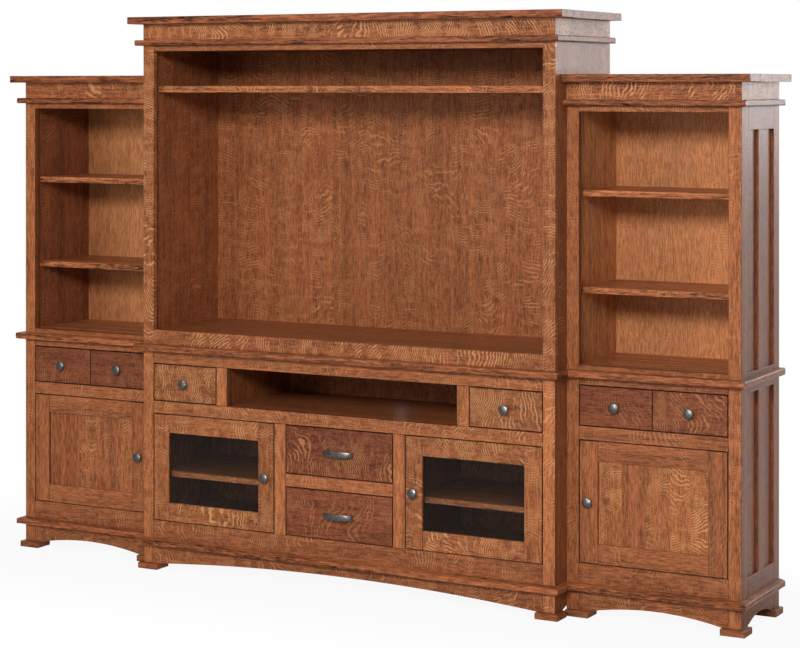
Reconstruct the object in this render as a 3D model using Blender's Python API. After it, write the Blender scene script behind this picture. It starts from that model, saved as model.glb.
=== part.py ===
# Mission style wall unit in quartersawn oak: a console that carries a hutch, between two piers.
# Lengths are in metres. +X is the viewer's right, -Y is the front and +Z is up. The origin is on
# the floor, under the middle of the whole piece.

import math

import bmesh
import bpy
from mathutils import Matrix, Vector

# Fits shared by all pieces.
FIT = 0.0003               # joint line left between two pieces that touch
REVEAL = 0.003             # gap round an inset door or drawer front
LAP = 0.005                # how far a glued board enters the board that holds it
OVERRUN = 0.002            # how far a cutter runs past the face it opens
SHARP_ANGLE = math.radians(40)

# The three units in plan.
CENTRE_WIDTH = 1.700
CENTRE_DEPTH = 0.474
PIER_WIDTH = 0.630
PIER_SETBACK = 0.092       # the piers' faces stand this far behind the centre unit's face
UNIT_GAP = 0.0005          # between the centre unit and each pier

# Face frames.
FRAME_THICK = 0.022
STILE = 0.0465
RAIL = 0.0465
MULLION = 0.048            # upright between a glass door and the centre drawers
SILL = 0.184               # floor to the top of every bottom rail

# Openings of the console.
SMALL_DRAWER_WIDTH = 0.2815
SMALL_DRAWER_HEIGHT = 0.141
CENTRE_DRAWER_WIDTH = 0.4445
CONSOLE_DOOR_HEIGHT = 0.403

# Openings of the piers.
PIER_TOP_RAIL = 0.0265
PIER_DRAWER_HEIGHT = 0.141
PIER_SILL = 0.0165
PIER_OPENING = 0.865

# Opening of the hutch.
HUTCH_SILL = 0.0535
HUTCH_OPENING = 1.047
HUTCH_SHELF_DROP = 0.130   # top of the opening down to the top of the shelf
HUTCH_SHELF_THICK = 0.025

# Case boards.
SIDE_THICK = 0.028
BOARD = 0.019              # floors, decks and partitions
BACK_THICK = 0.008
BACK_REBATE = 0.008        # how far a back panel is let into the boards round it
WAIST_THICK = 0.0245       # the console's top board, and the moulding that carries it round
CABLE_HOLE_RADIUS = 0.025
CABLE_HOLE_SIDES = 16
SLOT_HOLE_RISE = 0.100     # centre of the hole in the console's back, above the slot's floor
HUTCH_HOLE_RISE = 0.060    # centre of the hole in the hutch's back, above the hutch's floor
HUTCH_HOLE_X = 0.690

# Frame and panel sides of the piers.
SIDE_FRONT_STILE = 0.041
SIDE_MID_STILE = 0.055
SIDE_REAR_STILE = 0.057
PANEL_SINK = 0.011         # how far the side panels lie behind their frame
SIDE_HEAD_DROP = 0.058     # top of the bookcase opening down to the top of the side panels
PANEL_THICK = 0.006

# Cornices and mouldings, as they stand out past the face and past the sides.
STRIP_RISE = 0.021         # top of the opening up to the strip
STRIP_THICK = 0.021
STRIP_FRONT_OUT = 0.027
STRIP_SIDE_OUT = 0.0225
FRIEZE_RISE = 0.060        # strip up to the crown board
CROWN_THICK = 0.0265
CROWN_OUT = 0.044
WAIST_FRONT_OUT = 0.035
WAIST_SIDE_OUT = 0.0225
BASE_MOULD_Z = 0.0935
BASE_MOULD_THICK = 0.0245
BASE_FRONT_OUT = 0.030
BASE_SIDE_OUT = 0.0225
BASE_EDGE_SHARE = 0.72     # part of the base moulding's height below its sloping top
BASE_SLOPE_SHARE = 0.93    # height of the slope's middle
BASE_REACH_SHARE = 0.78    # how far out the slope's middle is
EDGE_EASE = 0.003          # chamfer on the showing edges of tops, crowns and feet

# Feet and the arches between them.
FOOT_HEIGHT = 0.0225
FOOT_WIDTH = 0.087
FOOT_DEPTH = 0.078
FOOT_PROUD = 0.0155
CENTRE_ARCH_RISE = 0.034
PIER_ARCH_RISE = 0.025
ARCH_STEPS = 14

# Drawers.
FRONT_THICK = 0.020
BOX_PLAY = 0.003           # between a drawer box and each side of its opening
BOX_HEADROOM = 0.008
BOX_WALL = 0.0125
BOX_BOTTOM = 0.006
BOX_BOTTOM_RISE = 0.010
CENTRE_BOX_DEPTH = 0.410
PIER_BOX_DEPTH = 0.320
SPLIT_WIDTH = 0.0025       # groove that divides a pier drawer's front in two
SPLIT_DEPTH = 0.005
GUIDE_WIDTH = 0.020        # wooden strip under the middle of each drawer
GUIDE_HEIGHT = 0.007
GUIDE_PLAY = 0.001
KEEPER_WIDTH = 0.010       # strip under the box on each side of the guide

# Doors.
DOOR_THICK = 0.020
DOOR_STILE = 0.067
DOOR_LIP = 0.008           # wood in front of the glass or the panel
GLASS_THICK = 0.004
GROOVE_DEPTH = 0.008

# Pivot pins, near the front corner of each door's hinge edge.
PIVOT_IN = 0.004           # pin's axis, in from the edge and back from the face
PIN_RADIUS = 0.0015
PIN_BITE = 0.010           # length of pin in the frame, and again in the door
PIN_SIDES = 8

# Knobs and pulls. Each has a stud that passes through the wood behind it.
KNOB_RADIUS = 0.018
KNOB_HEIGHT = 0.026
KNOB_SIDES = 14
KNOB_SHARES = (            # share of the radius, share of the height
    (0.50, 0.0), (0.47, 0.10), (0.33, 0.26), (0.36, 0.46), (0.86, 0.62), (1.0, 0.74), (0.94, 0.88),
               (0.52, 0.985),
)
PULL_LENGTH = 0.122
PULL_OUT = 0.030
PULL_HEIGHT = 0.023
PULL_THICK = 0.007
PULL_PAD = 0.014
STUD_RADIUS = 0.002
STUD_SIDES = 8

# Shelves.
SHELF_SETBACK = 0.052      # front edge behind the face
SHELF_THICK = 0.022
GLASS_SHELF_THICK = 0.0195
SHELF_CLEAR = 0.0015
GLASS_SHELF_TOP = 0.363
PIER_FIXED_SHELF_TOP = 1.124
PIER_LOOSE_SHELF_TOP = 1.4575
SHELF_PIN_RADIUS = 0.0025
SHELF_PIN_REACH = 0.009
SHELF_PIN_SIDES = 6
SHELF_PIN_FRONT = 0.006    # from the shelf's front edge, in the front stile of the side
SHELF_PIN_REAR = 0.030     # from its back edge, in the rear stile

# Planes and heights worked out from the sizes above.
BACK = (CENTRE_DEPTH + CROWN_OUT) / 2
FACE = BACK - CENTRE_DEPTH
PIER_FACE = FACE + PIER_SETBACK
BEHIND_FRAME = FACE + FRAME_THICK
BEHIND_PIER_FRAME = PIER_FACE + FRAME_THICK
PANEL_BACK = BACK - BACK_THICK
CENTRE_HALF = CENTRE_WIDTH / 2
CENTRE_INNER = CENTRE_HALF - SIDE_THICK
OPENING_HALF = CENTRE_HALF - STILE
SLOT_HALF = OPENING_HALF - SMALL_DRAWER_WIDTH - STILE
DRAWER_HALF = CENTRE_DRAWER_WIDTH / 2
DOOR_INNER = DRAWER_HALF + MULLION
LOWER_PARTITION = DRAWER_HALF + MULLION / 2
UPPER_PARTITION = SLOT_HALF + STILE / 2
PIER_INNER = CENTRE_HALF + UNIT_GAP
PIER_OUTER = PIER_INNER + PIER_WIDTH
PIER_OPEN_IN = PIER_INNER + STILE
PIER_OPEN_OUT = PIER_OUTER - STILE
DOOR_TOP = SILL + CONSOLE_DOOR_HEIGHT
ROW_FLOOR = DOOR_TOP + RAIL
ROW_TOP = ROW_FLOOR + SMALL_DRAWER_HEIGHT
BASE_TOP = ROW_TOP + RAIL
CENTRE_DRAWER_HEIGHT = (CONSOLE_DOOR_HEIGHT - RAIL) / 2
UPPER_DRAWER_FLOOR = SILL + CENTRE_DRAWER_HEIGHT + RAIL
PIER_DRAWER_TOP = BASE_TOP - PIER_TOP_RAIL
PIER_DRAWER_FLOOR = PIER_DRAWER_TOP - PIER_DRAWER_HEIGHT
PIER_DOOR_TOP = PIER_DRAWER_FLOOR - RAIL
WAIST_TOP = BASE_TOP + WAIST_THICK
HUTCH_FLOOR = WAIST_TOP + HUTCH_SILL
HUTCH_HEAD = HUTCH_FLOOR + HUTCH_OPENING
HUTCH_CASE_TOP = HUTCH_HEAD + STRIP_RISE
PIER_FLOOR = WAIST_TOP + PIER_SILL
PIER_HEAD = PIER_FLOOR + PIER_OPENING
PIER_CASE_TOP = PIER_HEAD + STRIP_RISE

# Colours, as linear red, green and blue.
OAK_FRAME = (0.40, 0.165, 0.068)
OAK_CASE = (0.28, 0.110, 0.047)
OAK_FRONT = (0.33, 0.120, 0.050)
OAK_MOULDING = (0.31, 0.118, 0.052)
OAK_BACK = (0.30, 0.135, 0.058)
DRAWER_WOOD = (0.56, 0.36, 0.19)
PEWTER = (0.17, 0.17, 0.18)
STEEL = (0.52, 0.53, 0.54)
GLASS = (0.80, 0.84, 0.84)


def material(name, colour, roughness, metallic=0.0):
    """The one material of a group of pieces."""
    made = bpy.data.materials.get(name)
    if made is None:
        made = bpy.data.materials.new(name)
        made.use_nodes = True
        shader = made.node_tree.nodes["Principled BSDF"]
        shader.inputs["Base Color"].default_value = (*colour, 1)
        shader.inputs["Roughness"].default_value = roughness
        shader.inputs["Metallic"].default_value = metallic
        made.diffuse_color = (*colour, 1)
    return made


def frame_oak():
    return material("frame_oak", OAK_FRAME, 0.42)


def case_oak():
    return material("case_oak", OAK_CASE, 0.45)


def front_oak():
    return material("front_oak", OAK_FRONT, 0.40)


def moulding_oak():
    return material("moulding_oak", OAK_MOULDING, 0.40)


def back_oak():
    return material("back_oak", OAK_BACK, 0.50)


def drawer_wood():
    return material("drawer_wood", DRAWER_WOOD, 0.55)


def pewter():
    return material("pewter", PEWTER, 0.45, 1.0)


def pin_steel():
    return material("pin_steel", STEEL, 0.35, 1.0)


def door_glass():
    return material("door_glass", GLASS, 0.05)


def add_board(bm, xs, ys, zs):
    """A square board between three pairs of planes."""
    low = Vector((min(xs), min(ys), min(zs)))
    high = Vector((max(xs), max(ys), max(zs)))
    place = Matrix.Translation((low + high) / 2) @ Matrix.Diagonal((*(high - low), 1))
    bmesh.ops.create_cube(bm, size=1, matrix=place)


def rectangle(firsts, seconds):
    """Corners of a rectangle in the plane of a plate."""
    low, high = min(firsts), max(firsts)
    bottom, top = min(seconds), max(seconds)
    return [(low, bottom), (high, bottom), (high, top), (low, top)]


def to_space(axis, along, point):
    """A point of the plane square to an axis, at a distance along that axis."""
    first, second = point
    if axis == "X":
        return Vector((along, first, second))
    if axis == "Y":
        return Vector((first, along, second))
    return Vector((first, second, along))


def add_plate(bm, axis, span, outline, holes=()):
    """A board sawn to an outline in the plane square to an axis, with holes through it."""
    low, high = min(span), max(span)
    edges = []
    for loop in (outline, *holes):
        ring = [bm.verts.new(to_space(axis, low, point)) for point in loop]
        edges += [bm.edges.new((ring[i - 1], ring[i])) for i in range(len(ring))]
    filled = bmesh.ops.triangle_fill(bm, use_beauty=True, edges=edges)
    faces = [item for item in filled["geom"] if isinstance(item, bmesh.types.BMFace)]
    raised = bmesh.ops.extrude_face_region(bm, geom=faces, use_keep_orig=True)
    verts = [item for item in raised["geom"] if isinstance(item, bmesh.types.BMVert)]
    bmesh.ops.translate(bm, verts=verts, vec=to_space(axis, high - low, (0, 0)))


def circle(centre, radius, sides):
    """Points of a regular polygon about a centre, in the plane of a plate."""
    turns = [2 * math.pi * step / sides for step in range(sides)]
    return [(centre[0] + radius * math.cos(turn), centre[1] + radius * math.sin(turn)) for turn in turns]


def arch(start, end, spring, rise):
    """Points of a round arch from start to end, which springs from a height and rises above it."""
    half = (end - start) / 2
    radius = (half * half + rise * rise) / (2 * rise)
    lean = math.asin(abs(half) / radius)
    turns = [lean * (2 * step / ARCH_STEPS - 1) for step in range(ARCH_STEPS + 1)]
    middle = (start + end) / 2
    reach = math.copysign(radius, half)
    return [(middle + reach * math.sin(turn), spring + rise - radius + radius * math.cos(turn))
            for turn in turns]


def inset(outline, amounts):
    """An outline, anticlockwise, with each edge moved in by its own amount. Edge i starts at point i."""
    lines = []
    for i, point in enumerate(outline):
        start = Vector(point)
        along = (Vector(outline[(i + 1) % len(outline)]) - start).normalized()
        lines.append((start + Vector((-along.y, along.x)) * amounts[i], along))
    points = []
    for i, (start, along) in enumerate(lines):
        before, way = lines[i - 1]
        turn = way.x * along.y - way.y * along.x
        gap = start - before
        points.append(tuple(before + way * ((gap.x * along.y - gap.y * along.x) / turn)))
    return points


def add_slab(bm, outline, shown, low, high):
    """A slab over an outline, with the upper and lower edges of its showing sides eased."""
    amounts = [EDGE_EASE * side for side in shown]
    small = inset(outline, amounts)
    rings = [[bm.verts.new((*point, height)) for point in loop]
             for loop, height in ((small, low), (outline, low + EDGE_EASE), (outline, high - EDGE_EASE),
                                  (small, high))]
    for lower, upper in zip(rings, rings[1:]):
        for i in range(len(outline)):
            bm.faces.new((lower[i - 1], lower[i], upper[i], upper[i - 1]))
    bm.faces.new(rings[0])
    bm.faces.new(rings[-1])


def add_turned(bm, profile, sides, place):
    """A turned piece: radius and height pairs, with its ends on the axis."""
    rings = []
    for radius, height in profile:
        points = circle((0, 0), radius, sides) if radius else [(0, 0)]
        rings.append([bm.verts.new(place @ Vector((*point, height))) for point in points])
    for lower, upper in zip(rings, rings[1:]):
        for i in range(sides):
            corners = {lower[(i - 1) % len(lower)]: 0, lower[i % len(lower)]: 0,
                       upper[i % len(upper)]: 0, upper[(i - 1) % len(upper)]: 0}
            bm.faces.new(list(corners))


def rod(radius, start, end):
    """Profile of a plain round rod or hole."""
    return ((0, start), (radius, start), (radius, end), (0, end))


def facing(direction, point):
    """A frame at a point whose own +Z looks in a direction."""
    return Matrix.Translation(point) @ Vector(direction).to_track_quat("Z", "Y").to_matrix().to_4x4()


def add_moulding(bm, profile, corners):
    """A moulding run along corners. Each corner is a point and the out vector of its mitre."""
    rings = [[bm.verts.new((point[0] + share * out[0], point[1] + share * out[1], height))
              for share, height in profile] for point, out in corners]
    count = len(profile)
    for first, second in zip(rings, rings[1:]):
        for i in range(count):
            bm.faces.new((first[i - 1], first[i], second[i], second[i - 1]))
    bm.faces.new(rings[0])
    bm.faces.new(rings[-1])


def finish(bm, name, look, parent=None, changes=(), smooth=False):
    """Turn the solid drawn in bm into a named object. Each change is an operation and its tool."""
    origin = parent.location.copy() if parent else Vector((0, 0, 0))
    bmesh.ops.translate(bm, verts=bm.verts, vec=-origin)
    bmesh.ops.recalc_face_normals(bm, faces=bm.faces)
    mesh = bpy.data.meshes.new(name)
    bm.to_mesh(mesh)
    bm.free()
    if smooth:
        mesh.shade_smooth()
        mesh.set_sharp_from_angle(angle=SHARP_ANGLE)
    if look:
        mesh.materials.append(look)
    piece = bpy.data.objects.new(name, mesh)
    bpy.context.scene.collection.objects.link(piece)
    piece.parent = parent
    for number, (operation, tool_bm) in enumerate(changes):
        tool = finish(tool_bm, f"{name}_tool_{number}", look, parent)
        tool.hide_render = True
        tool.display_type = "WIRE"
        change = piece.modifiers.new(operation.lower(), "BOOLEAN")
        change.operation = operation
        change.solver = "EXACT"
        change.object = tool
    return piece


def joint_point(name, place):
    """An empty on a joint's axis, which carries the pieces that move with it."""
    empty = bpy.data.objects.new(name, None)
    empty.location = place
    bpy.context.scene.collection.objects.link(empty)
    return empty


def doors():
    """Each door: its name, its hinge and free sides, its opening's floor and top, and its face."""
    return (
        ("left_glass_door", -OPENING_HALF, -DOOR_INNER, SILL, DOOR_TOP, FACE),
        ("right_glass_door", OPENING_HALF, DOOR_INNER, SILL, DOOR_TOP, FACE),
        ("left_pier_door", -PIER_OPEN_OUT, -PIER_OPEN_IN, SILL, PIER_DOOR_TOP, PIER_FACE),
        ("right_pier_door", PIER_OPEN_OUT, PIER_OPEN_IN, SILL, PIER_DOOR_TOP, PIER_FACE),
    )


def pivot(door):
    """Where a door's pivot axis stands in plan."""
    hinge_side, free_side, face = door[1], door[2], door[5]
    way = math.copysign(1, free_side - hinge_side)
    return hinge_side + way * (REVEAL + PIVOT_IN), face + PIVOT_IN


def pin_bores(names):
    """Bores for the pivot pins of some doors, into the rails below and above them."""
    bm = bmesh.new()
    for door in doors():
        if door[0] in names:
            for height, way in ((door[3], -1), (door[4], 1)):
                add_turned(bm, rod(PIN_RADIUS + FIT, -OVERRUN, PIN_BITE + FIT), PIN_SIDES,
                           facing((0, 0, way), (*pivot(door), height)))
    return bm


def drawer_bay(xs, floor, top, opening_xs, opening_top):
    """Outline of a drawer's bay, with the guide strip below the drawer and a keeper above it."""
    low, high = min(xs), max(xs)
    middle = sum(opening_xs) / 2
    left, right = middle - GUIDE_WIDTH / 2, middle + GUIDE_WIDTH / 2
    raised, lowered = floor + GUIDE_HEIGHT, opening_top
    return [(low, floor), (left, floor), (left, raised), (right, raised), (right, floor), (high, floor),
            (high, top), (right, top), (right, lowered), (left, lowered), (left, top), (low, top)]


def feet(unit_edges, face, hidden_edges=()):
    """Block feet under a unit: proud of its face and its showing sides, let up into its legs."""
    bm = bmesh.new()
    for edge, inward in unit_edges:
        hidden = edge in hidden_edges
        for front in (True, False):
            proud = FIT if hidden or not front and edge not in (-PIER_OUTER, PIER_OUTER) else -FOOT_PROUD
            outer = edge + inward * proud
            inner = edge + inward * (FOOT_WIDTH if hidden else FOOT_WIDTH - FOOT_PROUD)
            ys = (face - FOOT_PROUD, face - FOOT_PROUD + FOOT_DEPTH) if front else (BACK - FOOT_DEPTH,
                                                                                    BACK - FIT)
            add_slab(bm, rectangle((outer, inner), ys), (1, 1, 1, 1), 0, FOOT_HEIGHT)
    return bm


def side_arches(xs, face):
    """Cutter for the arch between the front and back feet, through both sides of a unit."""
    bm = bmesh.new()
    start, end = face - FOOT_PROUD + FOOT_DEPTH - FIT, BACK - FOOT_DEPTH + FIT
    outline = [(start, -OVERRUN), (end, -OVERRUN), *arch(end, start, FOOT_HEIGHT, PIER_ARCH_RISE)]
    add_plate(bm, "X", (min(xs) - OVERRUN, max(xs) + OVERRUN), outline)
    return bm


def build_console():
    """The console: face frame, case with its feet and shelves, top, back and base moulding."""
    between = SILL + CENTRE_DRAWER_HEIGHT
    foot_edge = CENTRE_HALF + FOOT_PROUD - FOOT_WIDTH
    bottom = FOOT_HEIGHT + FIT
    bm = bmesh.new()
    outline = [(-CENTRE_HALF, bottom), *arch(-foot_edge, foot_edge, bottom, CENTRE_ARCH_RISE),
               (CENTRE_HALF, bottom), (CENTRE_HALF, BASE_TOP), (-CENTRE_HALF, BASE_TOP)]
    holes = [rectangle((-SLOT_HALF, SLOT_HALF), (ROW_FLOOR, ROW_TOP)),
             rectangle((-DRAWER_HALF, DRAWER_HALF), (SILL, between)),
             rectangle((-DRAWER_HALF, DRAWER_HALF), (UPPER_DRAWER_FLOOR, DOOR_TOP))]
    for side in (-1, 1):
        holes.append(rectangle((side * DOOR_INNER, side * OPENING_HALF), (SILL, DOOR_TOP)))
        holes.append(rectangle((side * (SLOT_HALF + STILE), side * OPENING_HALF), (ROW_FLOOR, ROW_TOP)))
    add_plate(bm, "Y", (FACE, BEHIND_FRAME - FIT), outline, holes)
    bores = pin_bores(("left_glass_door", "right_glass_door"))
    finish(bm, "console_face_frame", frame_oak(), changes=[("DIFFERENCE", bores)])

    bm = bmesh.new()
    floor_under, deck_under = SILL - BOARD, ROW_FLOOR - BOARD
    ceiling = BASE_TOP - BOARD
    leg = FOOT_HEIGHT - OVERRUN
    outline = [(-CENTRE_HALF, leg), (-CENTRE_INNER, leg), (-CENTRE_INNER, floor_under),
               (CENTRE_INNER, floor_under),
               (CENTRE_INNER, leg), (CENTRE_HALF, leg), (CENTRE_HALF, BASE_TOP), (-CENTRE_HALF, BASE_TOP)]
    part_in, part_out = LOWER_PARTITION - BOARD / 2, LOWER_PARTITION + BOARD / 2
    slot_in, slot_out = UPPER_PARTITION - BOARD / 2, UPPER_PARTITION + BOARD / 2
    divider_under = UPPER_DRAWER_FLOOR - BOARD
    holes = [rectangle((-slot_in, slot_in), (ROW_FLOOR, ceiling)),
             drawer_bay((-part_in, part_in), SILL, divider_under, (-DRAWER_HALF, DRAWER_HALF), between),
             drawer_bay((-part_in, part_in), UPPER_DRAWER_FLOOR, deck_under, (-DRAWER_HALF, DRAWER_HALF),
                        DOOR_TOP)]
    for side in (-1, 1):
        holes.append(rectangle((side * part_out, side * CENTRE_INNER), (SILL, deck_under)))
        small = (side * (SLOT_HALF + STILE), side * OPENING_HALF)
        holes.append(drawer_bay((side * slot_out, side * CENTRE_INNER), ROW_FLOOR, ceiling, small, ROW_TOP))
    add_plate(bm, "Y", (BEHIND_FRAME, BACK), outline, holes)
    rebate = bmesh.new()
    wide = CENTRE_INNER + BACK_REBATE
    add_board(rebate, (-wide, wide), (PANEL_BACK, BACK + OVERRUN), (SILL - BOARD / 2, BASE_TOP - BOARD / 2))
    joined = feet(((-CENTRE_HALF, 1), (CENTRE_HALF, -1)), FACE)
    for side in (-1, 1):
        add_board(joined, (side * (part_out - LAP), side * (CENTRE_INNER + LAP)),
                  (FACE + SHELF_SETBACK, PANEL_BACK - FIT),
                  (GLASS_SHELF_TOP - GLASS_SHELF_THICK, GLASS_SHELF_TOP))
    arches = side_arches((-CENTRE_HALF, CENTRE_HALF), FACE)
    finish(bm, "console_case", case_oak(),
           changes=[("DIFFERENCE", rebate), ("DIFFERENCE", arches), ("UNION", joined)])

    bm = bmesh.new()
    front, return_end = FACE - WAIST_FRONT_OUT, PIER_FACE - WAIST_FRONT_OUT - FIT
    edge = CENTRE_HALF + WAIST_SIDE_OUT
    outline = [(-edge, front), (edge, front), (edge, return_end), (CENTRE_HALF, return_end),
               (CENTRE_HALF, BACK), (-CENTRE_HALF, BACK), (-CENTRE_HALF, return_end), (-edge, return_end)]
    add_slab(bm, outline, (1, 1, 0, 0, 0, 0, 0, 1), BASE_TOP + FIT, WAIST_TOP)
    finish(bm, "console_top", moulding_oak())

    hole = circle((0, ROW_FLOOR + SLOT_HOLE_RISE), CABLE_HOLE_RADIUS, CABLE_HOLE_SIDES)
    build_back("console_back", wide, SILL - BOARD / 2, BASE_TOP - BOARD / 2, hole)

    bm = bmesh.new()
    front, edge = FACE - FIT, CENTRE_HALF + FIT
    return_end = PIER_FACE - BASE_FRONT_OUT - 2 * FIT
    corners = [((-edge, return_end), (-BASE_SIDE_OUT, 0)),
               ((-edge, front), (-BASE_SIDE_OUT, -BASE_FRONT_OUT)),
               ((edge, front), (BASE_SIDE_OUT, -BASE_FRONT_OUT)), ((edge, return_end), (BASE_SIDE_OUT, 0))]
    add_moulding(bm, band(0, *base_profile()), corners)
    finish(bm, "console_base_moulding", moulding_oak())


def build_back(name, half_width, floor, top, hole):
    """A thin back panel let into the rebate of its case, with its cable hole."""
    bm = bmesh.new()
    outline = rectangle((FIT - half_width, half_width - FIT), (floor + FIT, top - FIT))
    add_plate(bm, "Y", (PANEL_BACK + FIT, BACK), outline, [hole])
    finish(bm, name, back_oak())


def base_profile():
    """Outer points of the base moulding, as share of its depth out and height: a sloping top."""
    low, thick = BASE_MOULD_Z, BASE_MOULD_THICK
    edge, slope = low + thick * BASE_EDGE_SHARE, low + thick * BASE_SLOPE_SHARE
    return ((1, low), (1, edge), (BASE_REACH_SHARE, slope)), low, low + thick


def nose_profile(low, thick):
    """Outer points of a moulding with both its edges eased."""
    ease = EDGE_EASE / WAIST_FRONT_OUT
    return ((1 - ease, low), (1, low + EDGE_EASE), (1, low + thick - EDGE_EASE),
            (1 - ease, low + thick)), low, low + thick


def band(behind, outer, low, high):
    """Profile of a moulding: its back, then its outer points."""
    return [(behind, low), *outer, (behind, high)]


def add_cornice(bm, joined, low, corners, crown, shown):
    """The strip and frieze that run round a unit's head, under a crown board."""
    strip_top = low + STRIP_THICK
    crown_low = strip_top + FRIEZE_RISE
    share = -FRAME_THICK / STRIP_FRONT_OUT
    profile = [(share, low), (1, low), (1, strip_top), (0, strip_top), (0, crown_low + LAP),
               (share, crown_low + LAP)]
    add_moulding(bm, profile, corners)
    add_slab(joined, crown, shown, crown_low, crown_low + CROWN_THICK)


def build_hutch():
    """The hutch: face frame, case with its fixed shelf, back and cornice."""
    bottom = WAIST_TOP + FIT
    top = HUTCH_CASE_TOP - FIT
    bm = bmesh.new()
    add_plate(bm, "Y", (FACE, BEHIND_FRAME - FIT), rectangle((-CENTRE_HALF, CENTRE_HALF), (bottom, top)),
              [rectangle((-OPENING_HALF, OPENING_HALF), (HUTCH_FLOOR, HUTCH_HEAD))])
    finish(bm, "hutch_face_frame", frame_oak())

    bm = bmesh.new()
    under, ceiling = HUTCH_FLOOR - BOARD, HUTCH_CASE_TOP - BOARD
    outline = [(-CENTRE_HALF, bottom), (-CENTRE_INNER, bottom), (-CENTRE_INNER, under), (CENTRE_INNER, under),
               (CENTRE_INNER, bottom), (CENTRE_HALF, bottom), (CENTRE_HALF, top), (-CENTRE_HALF, top)]
    add_plate(bm, "Y", (BEHIND_FRAME, BACK), outline,
              [rectangle((-CENTRE_INNER, CENTRE_INNER), (HUTCH_FLOOR, ceiling))])
    rebate = bmesh.new()
    wide = CENTRE_INNER + BACK_REBATE
    low, high = HUTCH_FLOOR - BOARD / 2, HUTCH_CASE_TOP - BOARD / 2
    add_board(rebate, (-wide, wide), (PANEL_BACK, BACK + OVERRUN), (low, high))
    shelf = bmesh.new()
    shelf_top = HUTCH_HEAD - HUTCH_SHELF_DROP
    add_board(shelf, (-CENTRE_INNER - LAP, CENTRE_INNER + LAP), (FACE + SHELF_SETBACK, PANEL_BACK - FIT),
              (shelf_top - HUTCH_SHELF_THICK, shelf_top))
    finish(bm, "hutch_case", case_oak(), changes=[("DIFFERENCE", rebate), ("UNION", shelf)])
    hole = circle((HUTCH_HOLE_X, HUTCH_FLOOR + HUTCH_HOLE_RISE), CABLE_HOLE_RADIUS, CABLE_HOLE_SIDES)
    build_back("hutch_back", wide, low, high, hole)

    bm = bmesh.new()
    crown_board = bmesh.new()
    band_end = BACK - FIT
    corners = [((-CENTRE_HALF, band_end), (-STRIP_SIDE_OUT, 0)),
               ((-CENTRE_HALF, FACE), (-STRIP_SIDE_OUT, -STRIP_FRONT_OUT)),
               ((CENTRE_HALF, FACE), (STRIP_SIDE_OUT, -STRIP_FRONT_OUT)),
               ((CENTRE_HALF, band_end), (STRIP_SIDE_OUT, 0))]
    edge = CENTRE_HALF + CROWN_OUT
    add_cornice(bm, crown_board, HUTCH_CASE_TOP, corners, rectangle((-edge, edge), (FACE - CROWN_OUT, BACK)),
                (1, 1, 0, 1))
    finish(bm, "hutch_cornice", moulding_oak(), changes=[("UNION", crown_board)])


def side_panels():
    """Front to back extents of the two panels of a pier's side."""
    near = BEHIND_PIER_FRAME + SIDE_FRONT_STILE
    far = BACK - SIDE_REAR_STILE
    width = (far - near - SIDE_MID_STILE) / 2
    return (near, near + width), (far - width, far)


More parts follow.
